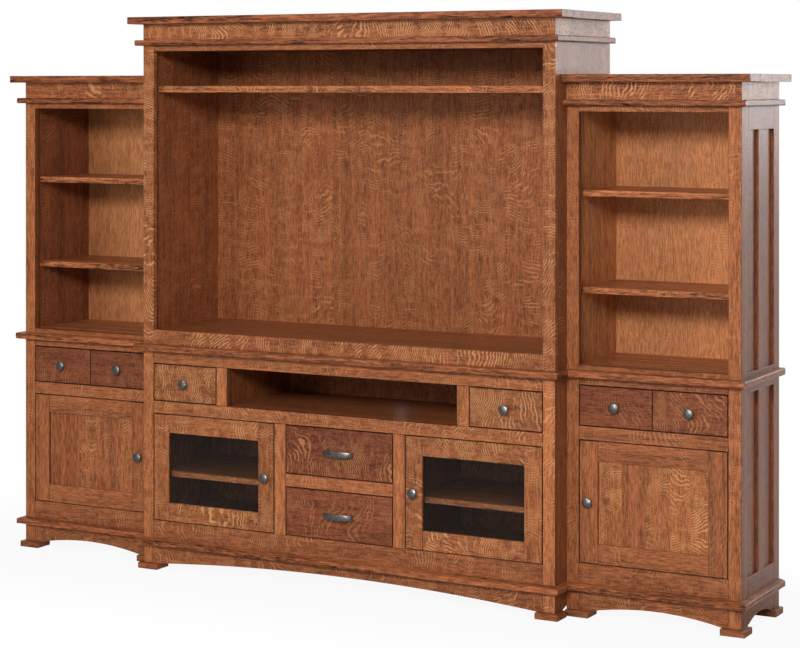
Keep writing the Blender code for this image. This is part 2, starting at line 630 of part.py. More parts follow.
def build_pier(name, side):
    """A pier: one tall case, with the mouldings, the cornice and the loose shelf that it carries."""
    inner, outer = side * PIER_INNER, side * PIER_OUTER
    wall_in, wall_out = side * (PIER_INNER + SIDE_THICK), side * (PIER_OUTER - SIDE_THICK)
    opening = (side * PIER_OPEN_IN, side * PIER_OPEN_OUT)
    ceiling = PIER_CASE_TOP - BOARD
    bm = bmesh.new()
    add_board(bm, (inner, outer), (PIER_FACE, BACK), (FOOT_HEIGHT - OVERRUN, PIER_CASE_TOP - FIT))

    openings = bmesh.new()
    through = (PIER_FACE - OVERRUN, BEHIND_PIER_FRAME + OVERRUN)
    for zs in ((SILL, PIER_DOOR_TOP), (PIER_DRAWER_FLOOR, PIER_DRAWER_TOP), (PIER_FLOOR, PIER_HEAD)):
        add_board(openings, opening, through, zs)
    foot_edges = sorted((side * (PIER_INNER + FOOT_WIDTH - FIT),
                         side * (PIER_OUTER + FOOT_PROUD - FOOT_WIDTH + FIT)))
    low_x, high_x = foot_edges
    outline = [(low_x, -OVERRUN), (high_x, -OVERRUN), *arch(high_x, low_x, FOOT_HEIGHT, PIER_ARCH_RISE)]
    add_plate(openings, "Y", through, outline)

    bays = bmesh.new()
    inside = (BEHIND_PIER_FRAME, PANEL_BACK)
    walls = (wall_in, wall_out)
    upper_under = PIER_FLOOR - BOARD
    add_board(bays, walls, inside, (SILL, PIER_DRAWER_FLOOR - BOARD))
    add_plate(bays, "Y", inside, drawer_bay(walls, PIER_DRAWER_FLOOR, upper_under, opening, PIER_DRAWER_TOP))
    add_board(bays, walls, inside, (PIER_FLOOR, ceiling))
    add_board(bays, walls, (BEHIND_PIER_FRAME, BACK + OVERRUN), (-OVERRUN, SILL - BOARD))

    pockets = bmesh.new()
    panels_top = PIER_HEAD - SIDE_HEAD_DROP
    for ys in side_panels():
        for zs in ((SILL, PIER_DRAWER_TOP), (PIER_FLOOR, panels_top)):
            add_board(pockets, (outer + side * OVERRUN, outer - side * PANEL_SINK), ys, zs)

    joined = feet(((inner, side), (outer, -side)), PIER_FACE, (inner,))
    shelf = (PIER_FACE + SHELF_SETBACK, BACK - BACK_THICK + OVERRUN)
    add_board(joined, (wall_in - side * LAP, wall_out + side * LAP), shelf,
              (PIER_FIXED_SHELF_TOP - SHELF_THICK, PIER_FIXED_SHELF_TOP))
    pin_height = PIER_LOOSE_SHELF_TOP - SHELF_THICK - SHELF_PIN_RADIUS - FIT
    loose = (PIER_FACE + SHELF_SETBACK, PANEL_BACK - SHELF_CLEAR)
    for wall, way in ((wall_in, side), (wall_out, -side)):
        for y in (loose[0] + SHELF_PIN_FRONT, loose[1] - SHELF_PIN_REAR):
            add_turned(joined, rod(SHELF_PIN_RADIUS, -LAP, SHELF_PIN_REACH), SHELF_PIN_SIDES,
                       facing((way, 0, 0), (wall, y, pin_height)))
    changes = [("DIFFERENCE", openings), ("DIFFERENCE", bays), ("DIFFERENCE", pockets),
               ("DIFFERENCE", side_arches((inner, outer), PIER_FACE)),
               ("DIFFERENCE", pin_bores((name + "_door",))),
               ("UNION", joined)]
    finish(bm, name + "_case", frame_oak(), changes=changes)

    bm = bmesh.new()
    add_board(bm, (wall_in + side * SHELF_CLEAR, wall_out - side * SHELF_CLEAR), loose,
              (PIER_LOOSE_SHELF_TOP - SHELF_THICK, PIER_LOOSE_SHELF_TOP))
    finish(bm, name + "_shelf", case_oak())

    for part, profile, front_out, side_out in (
            ("_waist_moulding", band(0, *nose_profile(BASE_TOP, WAIST_THICK)), WAIST_FRONT_OUT,
             WAIST_SIDE_OUT),
            ("_base_moulding", band(0, *base_profile()), BASE_FRONT_OUT, BASE_SIDE_OUT)):
        bm = bmesh.new()
        front, edge = PIER_FACE - FIT, outer + side * FIT
        corners = [((inner, front), (0, -front_out)), ((edge, front), (side * side_out, -front_out)),
                   ((edge, BACK), (side * side_out, 0))]
        add_moulding(bm, profile, corners)
        finish(bm, name + part, moulding_oak())

    bm = bmesh.new()
    crown_board = bmesh.new()
    corners = [((inner + side * FIT, PIER_FACE), (0, -STRIP_FRONT_OUT)),
               ((outer, PIER_FACE), (side * STRIP_SIDE_OUT, -STRIP_FRONT_OUT)),
               ((outer, BACK - FIT), (side * STRIP_SIDE_OUT, 0))]
    ends = (inner, outer + side * CROWN_OUT)
    crown = rectangle(ends, (PIER_FACE - CROWN_OUT, BACK))
    shown = (1, 1, 0, 0) if side > 0 else (1, 0, 0, 1)
    add_cornice(bm, crown_board, PIER_CASE_TOP, corners, crown, shown)
    finish(bm, name + "_cornice", moulding_oak(), changes=[("UNION", crown_board)])


def add_knob(bm, point, stud):
    """A turned mushroom knob whose foot sits on the wood at point, with its stud behind it."""
    profile = [(0, -stud), (STUD_RADIUS, -stud), (STUD_RADIUS, FIT)]
    profile += [(KNOB_RADIUS * radius, FIT + (KNOB_HEIGHT - FIT) * height) for radius, height in KNOB_SHARES]
    profile += [(0, KNOB_HEIGHT)]
    add_turned(bm, profile, KNOB_SIDES, facing((0, -1, 0), point))


def stud_holes(points, depth):
    """Holes for studs along -Y, through wood of some depth behind each point."""
    bm = bmesh.new()
    for point in points:
        add_turned(bm, rod(STUD_RADIUS + FIT, -depth - OVERRUN, OVERRUN), STUD_SIDES,
                   facing((0, -1, 0), point))
    return bm


def pull_outline(x, face):
    """Outline from above of a bowed pull: flat pads on the wood and an arc between them."""
    half = PULL_LENGTH / 2
    reach = PULL_OUT - PULL_THICK
    outer = arch(-half, half, PULL_THICK, reach)
    inner = arch(half - PULL_PAD, PULL_PAD - half, 0, reach)
    points = [(-half, 0), *outer, (half, 0), *inner]
    return [(x + along, face - FIT - out) for along, out in points]


def pull_stud_places(x):
    """Left to right places of a pull's two studs."""
    reach = (PULL_LENGTH - PULL_PAD) / 2
    return (x - reach, x + reach)


def build_drawer(name, xs, floor, top, face, box_depth, grips, pull):
    """An inset drawer: show front, box that runs on the guide, and its knobs or its pull."""
    low, high = min(xs), max(xs)
    middle = (floor + top) / 2
    carrier = joint_point(name + "_slide_point", ((low + high) / 2, face, middle))
    places = [low + (high - low) * share for share in grips]
    studs = [place for x in places for place in (pull_stud_places(x) if pull else (x,))]
    wood = FRONT_THICK + BOX_WALL

    bm = bmesh.new()
    add_board(bm, (low + REVEAL, high - REVEAL), (face, face + FRONT_THICK - FIT),
              (floor + REVEAL, top - REVEAL))
    changes = [("DIFFERENCE", stud_holes([(x, face, middle) for x in studs], wood))]
    if len(places) > 1:
        groove = bmesh.new()
        split = (low + high) / 2
        add_board(groove, (split - SPLIT_WIDTH / 2, split + SPLIT_WIDTH / 2),
                  (face - OVERRUN, face + SPLIT_DEPTH), (floor, top))
        changes.append(("DIFFERENCE", groove))
    finish(bm, name + "_front", front_oak(), carrier, changes)

    left, right = low + BOX_PLAY, high - BOX_PLAY
    near, far = face + FRONT_THICK, face + FRONT_THICK + box_depth
    base = floor + BOX_BOTTOM_RISE
    rim = top - BOX_HEADROOM
    bm = bmesh.new()
    add_board(bm, (left, right), (near, far), (floor + FIT, rim))
    cavity = bmesh.new()
    add_board(cavity, (left + BOX_WALL, right - BOX_WALL), (near + BOX_WALL, far - BOX_WALL),
              (base + BOX_BOTTOM, rim + OVERRUN))
    centre = (left + right) / 2
    guide = GUIDE_WIDTH / 2 + GUIDE_PLAY
    keeper = guide + KEEPER_WIDTH
    for xs_under in ((left + BOX_WALL, centre - keeper), (centre + keeper, right - BOX_WALL)):
        add_board(cavity, xs_under, (near + BOX_WALL, far - BOX_WALL), (floor - OVERRUN, base))
    add_board(cavity, (centre - guide, centre + guide), (near - OVERRUN, far + OVERRUN),
              (floor - OVERRUN, floor + GUIDE_HEIGHT + GUIDE_PLAY))
    holes = stud_holes([(x, near, middle) for x in studs], BOX_WALL)
    finish(bm, name + "_box", drawer_wood(), carrier, [("DIFFERENCE", cavity), ("DIFFERENCE", holes)])

    for number, x in enumerate(places):
        bm = bmesh.new()
        if pull:
            add_plate(bm, "Z", (middle - PULL_HEIGHT / 2, middle + PULL_HEIGHT / 2), pull_outline(x, face))
            rods = bmesh.new()
            for place in pull_stud_places(x):
                add_turned(rods, rod(STUD_RADIUS, -wood, PULL_THICK / 2), STUD_SIDES,
                           facing((0, -1, 0), (place, face, middle)))
            finish(bm, name + "_pull", pewter(), carrier, [("UNION", rods)])
        else:
            add_knob(bm, (x, face, middle), wood)
            ending = "_knob" if len(places) == 1 else ("_left_knob", "_right_knob")[number]
            finish(bm, name + ending, pewter(), carrier, smooth=True)


def build_drawers():
    """The six drawers."""
    for word, side in (("left", -1), ("right", 1)):
        small = (side * (SLOT_HALF + STILE), side * OPENING_HALF)
        build_drawer(f"small_drawer_{word}", small, ROW_FLOOR, ROW_TOP, FACE, CENTRE_BOX_DEPTH, (1 / 2,),
                     False)
        wide = (side * PIER_OPEN_IN, side * PIER_OPEN_OUT)
        build_drawer(f"{word}_pier_drawer", wide, PIER_DRAWER_FLOOR, PIER_DRAWER_TOP, PIER_FACE,
                     PIER_BOX_DEPTH,
                     (1 / 4, 3 / 4), False)
    for word, floor in (("upper", UPPER_DRAWER_FLOOR), ("lower", SILL)):
        build_drawer(f"centre_drawer_{word}", (-DRAWER_HALF, DRAWER_HALF), floor,
                     floor + CENTRE_DRAWER_HEIGHT, FACE,
                     CENTRE_BOX_DEPTH, (1 / 2,), True)


def build_door(door):
    """An inset door on two pivot pins: frame, the pane or panel in its groove, and its knob."""
    name, hinge_side, free_side, floor, top, face = door
    glazed = "glass" in name
    way = math.copysign(1, free_side - hinge_side)
    hinge_edge, free_edge = hinge_side + way * REVEAL, free_side - way * REVEAL
    pin = pivot(door)
    middle = (floor + top) / 2
    carrier = joint_point(name + "_pivot", (*pin, middle))
    zs = (floor + REVEAL, top - REVEAL)
    sight = (hinge_edge + way * DOOR_STILE, free_edge - way * DOOR_STILE)
    sight_zs = (zs[0] + DOOR_STILE, zs[1] - DOOR_STILE)
    knob = (free_edge - way * DOOR_STILE / 2, face, middle)
    thick = GLASS_THICK if glazed else PANEL_THICK
    pane_xs = (sight[0] - way * GROOVE_DEPTH, sight[1] + way * GROOVE_DEPTH)
    pane_zs = (sight_zs[0] - GROOVE_DEPTH, sight_zs[1] + GROOVE_DEPTH)
    pane_ys = (face + DOOR_LIP, face + DOOR_LIP + thick)

    bm = bmesh.new()
    add_plate(bm, "Y", (face, face + DOOR_THICK), rectangle((hinge_edge, free_edge), zs),
              [rectangle(sight, sight_zs)])
    groove = bmesh.new()
    add_board(groove, (pane_xs[0] - way * FIT, pane_xs[1] + way * FIT), (pane_ys[0] - FIT, pane_ys[1] + FIT),
              (pane_zs[0] - FIT, pane_zs[1] + FIT))
    bores = stud_holes([knob], DOOR_THICK)
    for height, inward in ((zs[0], 1), (zs[1], -1)):
        add_turned(bores, rod(PIN_RADIUS + FIT, -OVERRUN, PIN_BITE + FIT), PIN_SIDES,
                   facing((0, 0, inward), (*pin, height)))
    look = front_oak() if glazed else frame_oak()
    finish(bm, name + "_frame", look, carrier, [("DIFFERENCE", groove), ("DIFFERENCE", bores)])

    bm = bmesh.new()
    add_board(bm, pane_xs, pane_ys, pane_zs)
    finish(bm, name + ("_pane" if glazed else "_panel"), door_glass() if glazed else front_oak(), carrier)

    bm = bmesh.new()
    add_knob(bm, knob, DOOR_THICK)
    finish(bm, name + "_knob", pewter(), carrier, smooth=True)

    for word, height, inward in (("lower", floor, 1), ("upper", top, -1)):
        bm = bmesh.new()
        add_turned(bm, rod(PIN_RADIUS, -PIN_BITE, REVEAL + PIN_BITE), PIN_SIDES,
                   facing((0, 0, inward), (*pin, height)))
        finish(bm, f"{name}_{word}_pin", pin_steel())


for old in list(bpy.data.objects):
    bpy.data.objects.remove(old)
build_console()
build_hutch()
build_pier("left_pier", -1)
build_pier("right_pier", 1)
build_drawers()
for each_door in doors():
    build_door(each_door)
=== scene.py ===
import math
import random

import bmesh
import bpy
from mathutils import Matrix, Vector


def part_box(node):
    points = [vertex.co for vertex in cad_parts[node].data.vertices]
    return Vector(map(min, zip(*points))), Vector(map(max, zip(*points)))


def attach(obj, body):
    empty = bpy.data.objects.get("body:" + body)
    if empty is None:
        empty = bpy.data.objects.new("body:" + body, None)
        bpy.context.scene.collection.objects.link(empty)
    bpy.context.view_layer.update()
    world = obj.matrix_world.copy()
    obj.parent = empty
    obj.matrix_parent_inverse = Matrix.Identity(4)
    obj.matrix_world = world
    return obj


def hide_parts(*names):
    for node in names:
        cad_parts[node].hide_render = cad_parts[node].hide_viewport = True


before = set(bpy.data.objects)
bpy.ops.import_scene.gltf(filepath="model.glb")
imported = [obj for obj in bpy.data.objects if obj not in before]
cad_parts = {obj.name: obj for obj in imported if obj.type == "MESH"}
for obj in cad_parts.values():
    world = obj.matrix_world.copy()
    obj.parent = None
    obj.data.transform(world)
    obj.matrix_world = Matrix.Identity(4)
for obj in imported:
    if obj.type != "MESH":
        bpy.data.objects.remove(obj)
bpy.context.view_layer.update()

# The console's case carries everything else: slab sides on block feet, with a floor, decks,
# partitions and fixed shelves between them. It is quartersawn white oak, each board sawn square
# with its edges eased, then glued into dadoes and stained a reddish brown under a satin varnish.

LIGHT_OAK = (0.46, 0.150, 0.050)
RED_OAK = (0.225, 0.056, 0.026)
FLECK_TINT = (0.78, 0.38, 0.155)
# The dark of open pores, also used for the painted shade on board edges in the gaps.
PORE_AND_GAP_SHADE_TINT = (0.040, 0.012, 0.007)
RAY_SPACING = 0.0115
GRAIN_AXES = {"X": (0, 2, 1), "Y": (1, 2, 0), "Z": (2, 0, 1)}
TONE_RANGE = (0.93, 1.06)
RED_RANGE = (-0.07, 0.07)
FLECK_RANGE = (0.8, 1.2)
PLAIN_STREAK = 0.35
# How strongly painted shade darkens a board's eased edges and its thin sides, for the shade in the gaps
# between parts.
EASED_GAP_SHADE, THIN_SIDE_GAP_SHADE = 0.8, 0.6
EASE = 0.0012
GLUED_EASE = 0.0002
STRIP_WIDTHS = (0.8, 1.25)
SHARPEST = 0.4
chance = random.Random(41)


class Stain:
    """A value that changes over a surface. Arithmetic on it adds the nodes that work it out."""

    def __init__(self, tree, socket=None):
        self.tree = tree
        self.socket = socket

    def make(self, kind, settings=None, values=None, output=0):
        """A node of some type: its settings first, then the value or link of each socket."""
        node = self.tree.nodes.new(kind)
        for name, setting in (settings or {}).items():
            setattr(node, name, setting)
        for key, value in (values or {}).items():
            if isinstance(value, Stain):
                self.tree.links.new(value.socket, node.inputs[key])
            else:
                node.inputs[key].default_value = value
        return Stain(self.tree, node.outputs[output])

    def maths(self, operation, first, second=0.0):
        return self.make("ShaderNodeMath", {"operation": operation}, {0: first, 1: second})

    def __add__(self, other):
        return self.maths("ADD", self, other)

    def __radd__(self, other):
        return self.maths("ADD", other, self)

    def __sub__(self, other):
        return self.maths("SUBTRACT", self, other)

    def __rsub__(self, other):
        return self.maths("SUBTRACT", other, self)

    def __mul__(self, other):
        return self.maths("MULTIPLY", self, other)

    def __rmul__(self, other):
        return self.maths("MULTIPLY", other, self)

    def __truediv__(self, other):
        return self.maths("DIVIDE", self, other)

    def stretched(self, *scales):
        """This place, scaled by its own amount along each axis."""
        return self.make("ShaderNodeVectorMath", {"operation": "MULTIPLY"}, {0: self, 1: scales})

    def moved(self, offset):
        return self.make("ShaderNodeVectorMath", {"operation": "ADD"}, {0: self, 1: offset})

    def mottle(self, detail, roughness):
        """Soft random shades, 0 to 1, about a cell apart for each unit of this place."""
        return self.make("ShaderNodeTexNoise", None,
                         {"Vector": self, "Scale": 1.0, "Detail": detail, "Roughness": roughness})

    def axis(self, name):
        """This place's own X, Y or Z."""
        return self.make("ShaderNodeSeparateXYZ", None, {0: self}, output=name)

    def place(self, space="Object"):
        return self.make("ShaderNodeTexCoord", output=space)

    def attribute(self, name, output="Fac"):
        return self.make("ShaderNodeAttribute", {"attribute_name": name}, output=output)

    def ray(self, kind):
        """1 for light of one kind, and 0 for all other light."""
        return self.make("ShaderNodeLightPath", output="Is %s Ray" % kind)

    def step(self, low, high):
        """0 below one value and 1 above another, with a smooth rise between them."""
        return self.make("ShaderNodeMapRange", {"interpolation_type": "SMOOTHSTEP"},
                         {"Value": self, "From Min": low, "From Max": high})

    def over(self, under, colour):
        """A colour laid over another one, as strongly as this value says."""
        return self.make("ShaderNodeMix", {"data_type": "RGBA"}, {0: self, 6: under, 7: colour}, output=2)

    def tinting(self, colour):
        """A colour made lighter or darker by this value."""
        return self.make("ShaderNodeVectorMath", {"operation": "SCALE"}, {0: colour, "Scale": self})


def surface(name, roughness, metallic=0.0, coat=0.0, coat_roughness=0.2, specular=0.5):
    """A new material: a value to start its nodes from, its shader and the material itself."""
    made = bpy.data.materials.new(name)
    made.use_nodes = True
    shader = made.node_tree.nodes["Principled BSDF"]
    shader.inputs["Roughness"].default_value = roughness
    shader.inputs["Metallic"].default_value = metallic
    shader.inputs["Coat Weight"].default_value = coat
    shader.inputs["Coat Roughness"].default_value = coat_roughness
    shader.inputs["Specular IOR Level"].default_value = specular
    return Stain(made.node_tree), shader, made


def connect(shader, **values):
    """Feed the shader's sockets. An underscore in a name stands for a space."""
    for name, value in values.items():
        value.tree.links.new(value.socket, shader.inputs[name.replace("_", " ")])


def oak_figure(start, shader, grain, tone, red, fleck, streak, edge=None):
    """Quartersawn oak: fibres and pores along the grain, and ray flecks that cross it in waves."""
    fibre = grain.stretched(34, 250, 250).mottle(1.0, 0.5).step(0.38, 0.62)
    cord = grain.stretched(12, 120, 120).mottle(0.0, 0.5).step(0.34, 0.66)
    band = grain.stretched(1.1, 36, 36).mottle(2.0, 0.6).step(0.36, 0.64)
    pores = grain.stretched(45, 480, 480).mottle(1.0, 0.5).step(0.52, 0.66)
    lean = grain.stretched(3.2, 5.5, 5.5).mottle(0.0, 0.5) * 0.30
    wiggle = grain.stretched(24, 34, 34).mottle(1.0, 0.5) * 0.020
    wave = start.maths("SINE", (grain.axis("X") + lean + wiggle) * (2 * math.pi / RAY_SPACING))
    broken = grain.stretched(34, 12, 12).mottle(1.0, 0.5).step(0.40, 0.60)
    patch = (grain.moved((3.1, 0.7, 0.2)).stretched(5, 9, 9).mottle(1.0, 0.5) + fleck * 0.16).step(0.40, 0.66)
    specks = grain.stretched(170, 70, 70).mottle(1.0, 0.5).step(0.48, 0.66)
    flecks = (wave.step(0.10, 0.85) * broken * patch + specks * 0.28) * fleck
    ground = (0.0 - red).over(red.over((*LIGHT_OAK, 1), (*RED_OAK, 1)), (*FLECK_TINT, 1))
    shade = 0.63 - streak * 0.20 + (band - 0.5) * streak * 0.66 + cord * (streak * 0.35 + 0.10)
    shade = shade + fibre * (streak * 0.40 + 0.34)
    ground = (tone * shade).tinting(ground)
    ground = (pores * (0.10 + streak * 0.25)).over(ground, (*PORE_AND_GAP_SHADE_TINT, 1))
    lit = (red * 0.45).over(tone.tinting(FLECK_TINT), tone.tinting(LIGHT_OAK))
    colour = (flecks * 0.80).over(ground, lit)
    # Painted shade: eased edges and thin sides darkened towards the pore colour, for the shade in the gaps.
    if edge:
        colour = edge.over(colour, (*PORE_AND_GAP_SHADE_TINT, 1))
    height = fibre * 0.5 - pores * 0.9 + flecks * 0.25
    bump = start.make("ShaderNodeBump", None, {"Strength": 0.25, "Distance": 0.0006, "Height": height})
    connect(shader, Base_Color=colour, Roughness=0.40 + fibre * 0.10 - flecks * 0.07 + pores * 0.12,
            Normal=bump)


def sawn_oak():
    """The stained oak of solid boards, which reads each board's own grain and stain."""
    start, shader, made = surface("stained_oak", 0.42, coat=0.18, coat_roughness=0.25, specular=0.22)
    grain = start.attribute("grain", "Vector")
    parts = start.attribute("stain", "Vector")
    tone, red, fleck = (parts.axis(name) for name in "XYZ")
    oak_figure(start, shader, grain, tone, red, fleck, start.attribute("streak"), start.attribute("edge"))
    return made


def new_piece():
    """An empty piece of joinery. Its boards carry their grain and stain, and how much painted shade darkens
    their edges.
    """
    bm = bmesh.new()
    bm.verts.layers.float_vector.new("grain")
    bm.verts.layers.float_vector.new("stain")
    bm.verts.layers.float.new("streak")
    bm.faces.layers.float.new("edge")
    return bm


def ease_edges(board, ease):
    """Round the sharp edges of a board a little, and tell which faces that made."""
    if not ease:
        return set()
    board.normal_update()
    sharp = [edge for edge in board.edges if len(edge.link_faces) == 2 and edge.calc_face_angle() > SHARPEST]
    made = bmesh.ops.bevel(board, geom=sharp, offset=ease, segments=2, profile=0.5, affect="EDGES")
    return set(made["faces"])


def set_in(bm, board, along, look, ease, gap_shade=0.0):
    """Put a sawn board into a piece, with its grain along an axis and its own place in the tree. A
    look is a tone, a redness, a fleck and maybe a streak. The last value is how much painted shade
    darkens its eased edges and thin sides, standing in for the shade in the gaps between parts."""
    eased = ease_edges(board, ease)
    grain, stain = (bm.verts.layers.float_vector[name] for name in ("grain", "stain"))
    stripe, edge = bm.verts.layers.float["streak"], bm.faces.layers.float["edge"]
    axes = GRAIN_AXES[along]
    corner = [min(vert.co[axis] for vert in board.verts) for axis in range(3)]
    start = [chance.uniform(0, 5) for _ in axes]
    tone, red, fleck, streak = (*look, PLAIN_STREAK)[:4]
    own = Vector((tone * chance.uniform(*TONE_RANGE), red + chance.uniform(*RED_RANGE),
                  fleck * chance.uniform(*FLECK_RANGE)))
    copies = {}
    for vert in board.verts:
        copy = bm.verts.new(vert.co)
        copy[grain] = Vector(begin + vert.co[axis] - corner[axis] for begin, axis in zip(start, axes))
        copy[stain] = own
        copy[stripe] = streak
        copies[vert] = copy
    for face in board.faces:
        # Eased faces, and thin sides that face neither front nor back, get painted shade.
        share = EASED_GAP_SHADE if face in eased else THIN_SIDE_GAP_SHADE * (abs(face.normal.y) < 0.5)
        bm.faces.new([copies[vert] for vert in face.verts])[edge] = gap_shade * share
    board.free()


def add_board(bm, xs, ys, zs, along, look, ease=EASE, gap_shade=0.0):
    """A square sawn board between three pairs of planes."""
    low = Vector((min(xs), min(ys), min(zs)))
    high = Vector((max(xs), max(ys), max(zs)))
    board = bmesh.new()
    place = Matrix.Translation((low + high) / 2) @ Matrix.Diagonal((*(high - low), 1))
    bmesh.ops.create_cube(board, size=1, matrix=place)
    set_in(bm, board, along, look, ease, gap_shade)


def add_strips(bm, xs, ys, zs, along, across, count, look, spread=0.0):
    """A wide board glued up from strips of unequal width, side by side across one axis. Spread is
    how far the strips differ in redness and in figure, beyond what any two boards do."""
    spans = {"X": xs, "Y": ys, "Z": zs}
    low, high = min(spans[across]), max(spans[across])
    shares = [chance.uniform(*STRIP_WIDTHS) for _ in range(count)]
    edge = low
    for share in shares:
        following = edge + (high - low) * share / sum(shares)
        spans[across] = (edge, following)
        differ = chance.uniform(-spread, spread)
        own = (look[0], look[1] + differ * 0.5, look[2] - differ * 1.5, *look[3:])
        add_board(bm, spans["X"], spans["Y"], spans["Z"], along, own, GLUED_EASE)
        edge = following


def add_length(bm, ends, along, look, ease=EASE):
    """A board whose two ends are the same run of points, each in its own place."""
    board = bmesh.new()
    rings = [[board.verts.new(point) for point in end] for end in ends]
    for i in range(len(rings[0])):
        board.faces.new((rings[0][i - 1], rings[0][i], rings[1][i], rings[1][i - 1]))
    for ring in rings:
        board.faces.new(ring)
    bmesh.ops.recalc_face_normals(board, faces=board.faces)
    set_in(bm, board, along, look, ease)


def add_shaped(bm, axis, span, outline, along, look):
    """A board sawn to an outline in the plane square to the X or the Y axis."""
    ends = [[(level, *point) if axis == "X" else (point[0], level, point[1]) for point in outline]
            for level in (min(span), max(span))]
    add_length(bm, ends, along, look)


def arch(start, end, spring, rise, steps=28):
    """Points of a round arch from start to end."""
    half = (end - start) / 2
    radius = (half * half + rise * rise) / (2 * rise)
    lean = math.asin(abs(half) / radius)
    turns = [lean * (2 * step / steps - 1) for step in range(steps + 1)]
    reach = math.copysign(radius, half)
    return [((start + end) / 2 + reach * math.sin(turn), spring + rise - radius + radius * math.cos(turn))
            for turn in turns]


def done(bm, name, finish, nodes, body="cabinet", smooth=None):
    """Turn a piece into an object that rides on its body and stands for its CAD nodes."""
    bmesh.ops.recalc_face_normals(bm, faces=bm.faces)
    mesh = bpy.data.meshes.new(name)
    bm.to_mesh(mesh)
    bm.free()
    if smooth:
        mesh.shade_smooth()
        mesh.set_sharp_from_angle(angle=math.radians(smooth))
    mesh.materials.append(finish)
    piece = bpy.data.objects.new(name, mesh)
    bpy.context.scene.collection.objects.link(piece)
    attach(piece, body)
    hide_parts(*nodes)
    return piece


oak = sawn_oak()
CASE_LOOK = (0.80, 0.35, 0.30)
INSIDE_LOOK = (0.72, 0.40, 0.20)
BOARD = 0.019
SIDE = 0.028
frame_low, frame_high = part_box("console_face_frame")
HALF = frame_high.x
FACE = frame_low.y
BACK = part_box("console_case")[1].y
BASE_TOP = frame_high.z
FRAME_THICK = 0.022
BEHIND = FACE + FRAME_THICK
BACK_PANEL = 0.008
PANEL_BACK = BACK - BACK_PANEL
INNER = HALF - SIDE
STILE = 0.0465
SILL = 0.184
DOOR_TOP = 0.587
ROW_FLOOR = 0.6335
ROW_TOP = 0.7745
DRAWER_HALF = 0.22225
DOOR_INNER = 0.27025
SLOT_HALF = 0.4755
OPENING_HALF = HALF - STILE
LOWER_TOP = 0.36225
UPPER_FLOOR = 0.40875
FOOT_HEIGHT = 0.0225
FOOT_WIDTH = 0.087
FOOT_DEPTH = 0.078
FOOT_PROUD = 0.0155
FOOT_EASE = 0.0025
FOOT_LOOK = (0.82, 0.45, 0.25)
SIDE_ARCH = 0.025
GUIDE_HALF, GUIDE_HEIGHT = 0.010, 0.007
SET_BACK = 0.052
GLASS_SHELF = (0.3435, 0.363)
GLASS_SHELF_LOOK = (0.80, 0.30, 0.2)
NOSING = 0.018
# The front strip of each shelf behind the glass is painted far lighter than the rest: a painted highlight
# where its front edge catches the light.
NOSING_PAINTED_LIGHT_LOOK = (1.45, 0.10, 0.3)
NOSING_EASE = 0.0008


def feet_spans(face):
    """From where to where the front foot and the back one reach, behind a face."""
    return (face - FOOT_PROUD, face - FOOT_PROUD + FOOT_DEPTH), (BACK - FOOT_DEPTH, BACK)


def side_arch(face):
    (_, start), (end, _) = feet_spans(face)
    return arch(start, end, FOOT_HEIGHT, SIDE_ARCH)


def side_outline(face, top):
    """A slab side seen from outside: two legs, with an arch between the front foot and the back one."""
    return [(face + FRAME_THICK, FOOT_HEIGHT), *side_arch(face), (BACK, FOOT_HEIGHT), (BACK, top),
            (face + FRAME_THICK, top)]


def add_drawer_guides(bm, middle, floor, opening_top, ceiling, depth_span):
    """The strip that a drawer straddles, and the keeper above it that stops the drawer tipping."""
    xs = (middle - GUIDE_HALF, middle + GUIDE_HALF)
    add_board(bm, xs, depth_span, (floor, floor + GUIDE_HEIGHT), "Y", INSIDE_LOOK)
    add_board(bm, xs, depth_span, (opening_top, ceiling), "Y", INSIDE_LOOK)


inside = (BEHIND, PANEL_BACK)
lower = [(DRAWER_HALF + DOOR_INNER + share * BOARD) / 2 for share in (-1, 1)]
upper = [SLOT_HALF + (STILE + share * BOARD) / 2 for share in (-1, 1)]
shelf_front = FACE + SET_BACK + NOSING
bm = new_piece()
for side in (-1, 1):
    add_shaped(bm, "X", (side * INNER, side * HALF), side_outline(FACE, BASE_TOP), "Z", CASE_LOOK)
    add_board(bm, (side * lower[0], side * lower[1]), inside, (SILL, ROW_FLOOR - BOARD), "Z", INSIDE_LOOK)
    add_board(bm, (side * upper[0], side * upper[1]), inside, (ROW_FLOOR, BASE_TOP - BOARD), "Z", CASE_LOOK)
    # The front strip carries a painted highlight, and the rest of the shelf its own tone.
    for ys, look in (((FACE + SET_BACK, shelf_front), NOSING_PAINTED_LIGHT_LOOK),
                     ((shelf_front, PANEL_BACK), GLASS_SHELF_LOOK)):
        add_board(bm, (side * lower[1], side * INNER), ys, GLASS_SHELF, "X", look, NOSING_EASE)
    middle = side * (SLOT_HALF + STILE + OPENING_HALF) / 2
    add_drawer_guides(bm, middle, ROW_FLOOR, ROW_TOP, BASE_TOP - BOARD, inside)
    for ys, proud in zip(feet_spans(FACE), (FOOT_PROUD, 0)):
        xs = (side * (HALF + proud), side * (HALF + FOOT_PROUD - FOOT_WIDTH))
        add_board(bm, xs, ys, (0, FOOT_HEIGHT), "X", FOOT_LOOK, FOOT_EASE)
for top in (SILL, ROW_FLOOR, BASE_TOP):
    add_strips(bm, (-INNER, INNER), inside, (top - BOARD, top), "X", "Y", 4, CASE_LOOK)
add_board(bm, (-lower[0], lower[0]), inside, (UPPER_FLOOR - BOARD, UPPER_FLOOR), "X", INSIDE_LOOK)
add_drawer_guides(bm, 0, SILL, LOWER_TOP, UPPER_FLOOR - BOARD, inside)
add_drawer_guides(bm, 0, UPPER_FLOOR, DOOR_TOP, ROW_FLOOR - BOARD, inside)
done(bm, "console_case_boards", oak, ["console_case"])

# The console's face frame is glued to the front edges of the case: stiles full height down to the
# feet, rails between them, an arched bottom rail and short mullions. All joints are flush.

